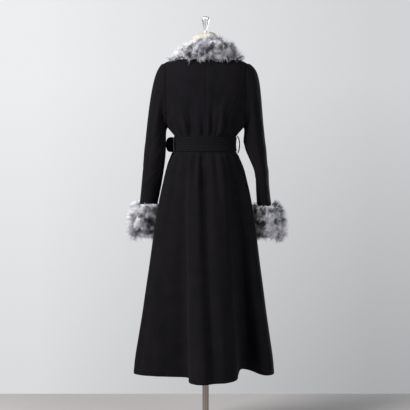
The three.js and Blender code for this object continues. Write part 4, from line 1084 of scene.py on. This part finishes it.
def furTree():
    tree, identifiers, add, given = startTree("furPile", "Backing", collarFur, "Fur")
    place = add("GeometryNodeInputPosition").outputs[0]
    roots = add(
        "GeometryNodeDistributePointsOnFaces", {"distribute_method": "RANDOM"},
        {"Mesh": given["Backing"], "Density": given["Hairs Per Square Metre"], "Seed": given["Seed"]},
    )
    marked = add(
        "GeometryNodeStoreNamedAttribute",
        {"data_type": "FLOAT_VECTOR", "domain": "POINT", "Name": "furRoot"},
        {"Geometry": roots.outputs["Points"], "Value": place},
    )
    chance = add("FunctionNodeRandomValue", {"data_type": "FLOAT", "Seed": 11})
    shaded = add(
        "GeometryNodeStoreNamedAttribute", {"data_type": "FLOAT", "domain": "POINT", "Name": "hairShade"},
        {"Geometry": marked, "Value": chance.outputs[1]},
    )
    # each hair stands, droops, leans with its lock and strays a little by itself
    lockScale = add("ShaderNodeMath", {"operation": "DIVIDE", 0: 1.0}, {1: given["Lock Size"]})
    lockNoise = add("ShaderNodeTexNoise", {"Detail": 1.0}, {"Vector": place, "Scale": lockScale})
    lockTurn = add(
        "ShaderNodeVectorMath", {"operation": "SUBTRACT", 1: (0.5, 0.5, 0.5)}, {0: lockNoise.outputs["Color"]}
    )
    lockPull = add("ShaderNodeMath", {"operation": "MULTIPLY", 1: hairForm["lockPull"]}, {0: given["Locks"]})
    locks = add("ShaderNodeVectorMath", {"operation": "SCALE"}, {0: lockTurn, "Scale": lockPull})
    far = hairForm["stray"]
    stray = add(
        "FunctionNodeRandomValue",
        {"data_type": "FLOAT_VECTOR", 0: (-far, -far, -far), 1: (far, far, far), "Seed": 3},
    )
    lift = add(
        "ShaderNodeVectorMath", {"operation": "SCALE"}, {0: roots.outputs["Normal"], "Scale": given["Stand"]}
    )
    fallen = add(
        "ShaderNodeVectorMath", {"operation": "SCALE", 0: (0.0, 0.0, -1.0)}, {"Scale": given["Droop"]}
    )
    direction = lift
    for pull in (fallen, locks, stray):
        direction = add("ShaderNodeVectorMath", {"operation": "ADD"}, {0: direction, 1: pull})
    aim = add("FunctionNodeAlignRotationToVector", {"axis": "Z"}, {"Vector": direction})
    roll = add("FunctionNodeRandomValue", {"data_type": "FLOAT", 3: 6.283, "Seed": 7})
    rollTurn = add("FunctionNodeAxisAngleToRotation", {"Axis": (0.0, 0.0, 1.0)}, {"Angle": roll.outputs[1]})
    turned = add(
        "FunctionNodeRotateRotation", {"rotation_space": "LOCAL"}, {"Rotation": aim, "Rotate By": rollTurn}
    )
    uneven = add(
        "FunctionNodeRandomValue",
        {"data_type": "FLOAT", 2: hairForm["shortest"], 3: hairForm["longest"], "Seed": 19},
    )
    length = add("ShaderNodeMath", {"operation": "MULTIPLY"}, {0: given["Hair Length"], 1: uneven.outputs[1]})
    radius = given["Hair Radius"]
    size = add("ShaderNodeCombineXYZ", links={"X": radius, "Y": radius, "Z": length})
    # one hair is a cone of three sides, curled towards its tip
    hair = add(
        "GeometryNodeMeshCone",
        {
            "fill_type": "NGON", "Vertices": 3, "Side Segments": 2,
            "Radius Top": 0.0, "Radius Bottom": 1.0, "Depth": 1.0,
        },
    )
    upShare = add("ShaderNodeSeparateXYZ", links={"Vector": place}).outputs["Z"]
    squared = add("ShaderNodeMath", {"operation": "MULTIPLY"}, {0: upShare, 1: upShare})
    curl = add("ShaderNodeMath", {"operation": "MULTIPLY", 1: hairForm["curl"]}, {0: squared})
    bend = add("ShaderNodeCombineXYZ", links={"X": curl})
    curved = add("GeometryNodeSetPosition", links={"Geometry": hair, "Offset": bend})
    measured = add(
        "GeometryNodeStoreNamedAttribute", {"data_type": "FLOAT", "domain": "POINT", "Name": "alongHair"},
        {"Geometry": curved, "Value": upShare},
    )
    grown = add(
        "GeometryNodeInstanceOnPoints",
        links={"Points": shaded, "Instance": measured, "Rotation": turned, "Scale": size},
    )
    real = add("GeometryNodeRealizeInstances", links={"Geometry": grown})
    soft = add("GeometryNodeSetShadeSmooth", links={"Geometry": real})
    finish = add("GeometryNodeSetMaterial", {"Material": fur}, {"Geometry": soft})
    add("NodeGroupOutput", links={"Fur": finish})
    return tree, identifiers


furPile, furInputs = furTree()


def growFur(name, grid, settings, closed=False):
    piece = gridObject(name, grid, fur, closed)
    bakeTree(piece, furPile, furInputs, settings)
    joinFrame(piece)
    print("fur", name, len(piece.data.polygons))
    return piece


# The backing takes the colours that a hair has low down, painted shade included
backingLook = {"alongHair": 0.25, "hairShade": 0.3}


def markBacking(piece):
    mesh = piece.data
    root = mesh.attributes.new("furRoot", "FLOAT_VECTOR", "POINT")
    places = np.empty(len(mesh.vertices) * 3, np.float32)
    mesh.vertices.foreach_get("co", places)
    root.data.foreach_set("vector", places)
    for name, value in backingLook.items():
        level = mesh.attributes.new(name, "FLOAT", "POINT")
        level.data.foreach_set("value", np.full(len(mesh.vertices), value, np.float32))


# along the collar from the centre back, inner and outer edge (angle, height), stand, thickness
collarSections = [
    (0, 90, 1407, 90, 1373, 41, 1), (0.14, 62, 1407, 60, 1373, 38, 0.92),
    (0.26, 32, 1406, 30, 1374, 29, 0.7), (0.36, 4, 1405, 2, 1377, 18, 0.55),
    (0.46, -13, 1403, -22, 1371, 14, 0.6), (0.56, -30, 1388, -34, 1340, 9, 0.8),
    (0.68, -50, 1352, -38, 1300, 6, 0.9), (0.82, -68, 1300, -44, 1245, 2, 0.9),
    (0.94, -82, 1240, -56, 1196, 0, 0.8), (1, -84, 1214, -66, 1180, 0, 0.45),
]
# step, share of the way across, distance out, rise
collarProfile = [
    (0, 0, 3, 0.45), (1, 0, 8, 0.9), (2, 0.12, 20, 1.06), (3, 0.32, 33, 0.9), (4, 0.58, 38, 0.5),
    (5, 0.82, 34, 0.18), (6, 1, 24, 0), (7, 1.1, 9, -0.06),
]
collarSizes = {"rings": 111, "columns": 36, "pile": 13, "backing": 2.5}
# on the left shoulder it lies lower and closer: by how much of its size, where along it, and how far
collarLeft = {"lower": (0.5, 0.24, 0.12), "closer": (0.75, 0.43, 0.12)}


def collarGrid():
    step = np.linspace(0, len(collarProfile) - 1, collarSizes["columns"])
    across, out, rise = (readRows(collarProfile, column, step) for column in (1, 2, 3))
    rings, alongs = [], np.linspace(-1, 1, collarSizes["rings"])
    for along in alongs:
        innerAngle, innerZ, outerAngle, outerZ, stand, thick = (
            readRows(collarSections, column, abs(along)) for column in range(1, 7)
        )
        lower, closer = (share * bell(along - at, reach) for share, at, reach in collarLeft.values())
        angle = innerAngle + across * (outerAngle - innerAngle)
        angle = 180 - angle if along < 0 else angle
        ring = coatOffset(angle, innerZ + across * (outerZ - innerZ), out * thick * (1 - closer))
        ring[:, 2] += rise * stand * (1 - lower)
        rings.append(ring)
    # turned round, so that its normals point outwards
    grid = np.array(rings)[:, ::-1]
    pileShare = 0.45 + 0.55 * readRows(collarSections, 6, np.abs(alongs))[:, None]
    inset = collarSizes["pile"] * pileShare * np.clip((out[None, ::-1] - 2) / 16, 0, 1)
    return grid - gridNormals(grid) * inset[..., None]


grid = collarGrid()
collar = clothShell("collarBacking", grid, collarSizes["backing"], fur)
markBacking(collar)
joinFrame(collar, "fur_collar")
print("collar area", round(clothArea(grid), 4))
third = collarSizes["rings"] // 3
collarPile = [
    growFur("collarFurRight", grid[: third + 1], collarFur),
    growFur("collarFurBack", grid[third : 2 * third + 1], {**collarFur, "Seed": 6}),
    growFur("collarFurLeft", grid[2 * third :], {**collarFur, "Hair Length": 0.021, "Seed": 7}),
]

# shift is along x, away from the wrist's middle
cuffs = {
    "left": {"top": 862, "bottom": 719, "shift": 6, "halfWidth": 58, "halfDepth": 66, "seed": 8},
    "right": {"top": 855, "bottom": 718, "shift": -10, "halfWidth": 61, "halfDepth": 66, "seed": 9},
}
cuffSizes = {
    "pile": 14, "rows": 34, "sides": 72, "backing": 2.5, "seat": 3.2, "roundness": 0.6, "tilt": 1.5,
    "hairRise": 10,
}


# A ring of stuffing round the wrist: it swells from its seat on the sleeve to its full width and back
def cuffGrid(arm):
    cuff = cuffs[arm]
    middle = (cuff["top"] + cuff["bottom"]) / 2
    half = (cuff["top"] - cuff["bottom"]) / 2 - cuffSizes["hairRise"]
    turn = np.linspace(0, 2 * math.pi, cuffSizes["sides"], endpoint=False)
    around = turn if arm == "left" else turn + math.pi
    out = np.stack((np.cos(turn), np.sin(turn), 0 * turn), axis=-1)
    size = np.array([cuff["halfWidth"] - cuffSizes["pile"], cuff["halfDepth"] - cuffSizes["pile"], 0])
    rows = []
    for tilt in np.linspace(-cuffSizes["tilt"], cuffSizes["tilt"], cuffSizes["rows"]):
        z = middle + half * math.sin(tilt)
        onSleeve = max(z, sleeveSizes["wrist"])
        inner = sleevePoint(arm, onSleeve, around)
        inner[:, 2] = z
        inner = inner + out * cuffSizes["seat"]
        centre = sleevePoint(arm, onSleeve, np.array([0, math.pi])).mean(axis=0)
        outer = np.array([centre[0] + cuff["shift"], centre[1], z]) + out * size
        rows.append(inner + (outer - inner) * math.cos(tilt) ** cuffSizes["roundness"])
    return np.array(rows)


cuffPile = {}
for arm, cuff in cuffs.items():
    grid, side = cuffGrid(arm), arm.capitalize()
    piece = clothShell("cuffBacking" + side, grid, cuffSizes["backing"], fur, closed=True)
    markBacking(piece)
    joinFrame(piece, f"fur_cuff_{arm}")
    pile = growFur("cuffFur" + side, grid, {**cuffFur, "Seed": cuff["seed"]}, closed=True)
    cuffPile[arm] = (piece, pile)
    print("cuff", arm, "area", round(clothArea(grid, closed=True), 4))


# Cuts of the cloth pieces, in metres: width, length and flat area of what shows
bodyCloth = {
    "backCentreLeft": (0.185, 1.3, 0.136), "backCentreRight": (0.19, 1.28, 0.159),
    "backSideLeft": (0.25, 1.135, 0.171), "backSideRight": (0.22, 1.13, 0.135),
    "frontRight": (0.465, 1.325, 0.353), "frontLeft": (0.45, 1.325, 0.344),
    "underSleeveLeft": (0.155, 0.46, 0.035), "topSleeveLeft": (0.435, 0.65, 0.121),
    "underSleeveRight": (0.155, 0.465, 0.036), "topSleeveRight": (0.435, 0.655, 0.117),
}
for name, (width, length, area) in bodyCloth.items():
    piece = panels[name][0]
for name, length in (("beltEndLong", 0.405), ("beltEndShort", 0.315)):
    piece, stitches = endGrids[name][0], endStitches[name]
for arm, flat in (("left", (0.305, 0.135)), ("right", (0.315, 0.138))):
    piece, pile = cuffPile[arm]


# Dress form and stand: the cap's profile has a small rolled edge under a dome
capSizes = {"radius": 52, "seat": 1441, "rim": 1447, "top": 1476, "sides": 64, "rows": 22, "fullness": 0.92}


def makeCap():
    radius, seat, rim = capSizes["radius"], capSizes["seat"], capSizes["rim"]
    profile = [(radius - 3, seat), (radius - 1.4, seat + 0.4), (radius - 0.6, seat + 2.4), (radius, rim - 1)]
    for tilt in np.linspace(0, math.pi / 2, capSizes["rows"])[:-1]:
        across = radius * math.cos(tilt) ** capSizes["fullness"]
        profile.append((across, rim + (capSizes["top"] - rim) * math.sin(tilt)))
    turn = np.linspace(0, 2 * math.pi, capSizes["sides"], endpoint=False)
    rings = [np.stack((r * np.cos(turn), r * np.sin(turn), z + 0 * turn), axis=-1) for r, z in profile]
    return gridObject("neckCapCloth", np.array(rings), jersey, closed=True, capped=True)


joinFrame(makeCap(), "neck_cap")
formMaterials = {
    "form_torso": jersey, "stand_pole": poleSteel, "stand_base": baseSteel, "neck_finial": finialSteel,
    "cap_fitting": wireSteel,
}
for node, material in formMaterials.items():
    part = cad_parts[node]
    part.data.materials.clear()
    part.data.materials.append(material)


# Floor, light and camera, in metres and watts
floorSizes = {"half": 1.9, "wallLine": -0.68, "near": 4.6}
half, wallLine, near = floorSizes.values()
floor = bpy.data.meshes.new("studioFloor")
corners = [(-half, wallLine, 0), (half, wallLine, 0), (half, near, 0), (-half, near, 0)]
floor.from_pydata(corners, [], [(0, 1, 2, 3)])
floor.materials.append(floorPaint)
floorPiece = bpy.data.objects.new("studioFloor", floor)
bpy.context.scene.collection.objects.link(floorPiece)

softboxSide = 1.8
softboxes = {
    "keySoftbox": {"place": (3.1, 2.3, 2.9), "power": 345.0, "tint": (1.0, 0.985, 0.96)},
    "fillSoftbox": {"place": (-2.8, 3.0, 1.6), "power": 80.0, "tint": (0.95, 0.97, 1.0)},
    "bounceSoftbox": {"place": (-2.9, -3.4, 1.1), "power": 85.0, "tint": (1.0, 1.0, 1.0)},
}
aimPoint = Vector((0, 0, 0.85))
for name, softbox in softboxes.items():
    data = bpy.data.lights.new(name, "AREA")
    data.shape = "SQUARE"
    data.size = softboxSide
    data.energy = softbox["power"]
    data.color = softbox["tint"]
    light = bpy.data.objects.new(name, data)
    light.location = softbox["place"]
    light.rotation_euler = (aimPoint - light.location).to_track_quat("-Z", "Y").to_euler()
    bpy.context.scene.collection.objects.link(light)

# The backdrop is lit apart from the coat, so it looks brighter than the light that it gives.
# It grows dimmer to one side and towards its foot.
backdrop = {
    "air": 0.26, "tint": "f1f2f4", "dimSide": 0.733, "litSide": 0.968, "footShare": 0.85,
    "across": 0.15, "foot": -0.214, "top": 0.064,
}
world = bpy.data.worlds.new("studioAir")
world.use_nodes = True
background = world.node_tree.nodes["Background"]
background.inputs["Color"].default_value = colour(backdrop["tint"])
add = partial(addNode, world.node_tree)
seen = add("ShaderNodeLightPath").outputs["Is Camera Ray"]
way = add("ShaderNodeSeparateXYZ", links={"Vector": add("ShaderNodeTexCoord").outputs["Generated"]})
wash = add(
    "ShaderNodeMapRange",
    {
        "From Min": -backdrop["across"], "From Max": backdrop["across"],
        "To Min": backdrop["dimSide"], "To Max": backdrop["litSide"],
    },
    {"Value": way.outputs["X"]},
)
foot = add("ShaderNodeMath", {"operation": "MULTIPLY", 1: backdrop["footShare"]}, {0: wash})
fall = add(
    "ShaderNodeMapRange", {"From Min": backdrop["foot"], "From Max": backdrop["top"]},
    {"Value": way.outputs["Z"], "To Min": foot},
)
wall = add("ShaderNodeMath", {"operation": "MULTIPLY"}, {0: wash, 1: fall})
strength = add("ShaderNodeMix", {"A": backdrop["air"]}, {"Factor": seen, "B": wall})
world.node_tree.links.new(strength.outputs[0], background.inputs["Strength"])
bpy.context.scene.world = world
bpy.context.scene.view_settings.view_transform = "Standard"

lens = {"place": (0.0022, 4.0, 1.05), "pitch": 2.87, "focal": 96.2, "sensor": 36}
cameraData = bpy.data.cameras.new("studioCamera")
cameraData.lens = lens["focal"]
cameraData.sensor_width = lens["sensor"]
camera = bpy.data.objects.new("studioCamera", cameraData)
camera.location = lens["place"]
camera.rotation_euler = (math.radians(90 - lens["pitch"]), 0, math.pi)
bpy.context.scene.collection.objects.link(camera)
bpy.context.scene.camera = camera
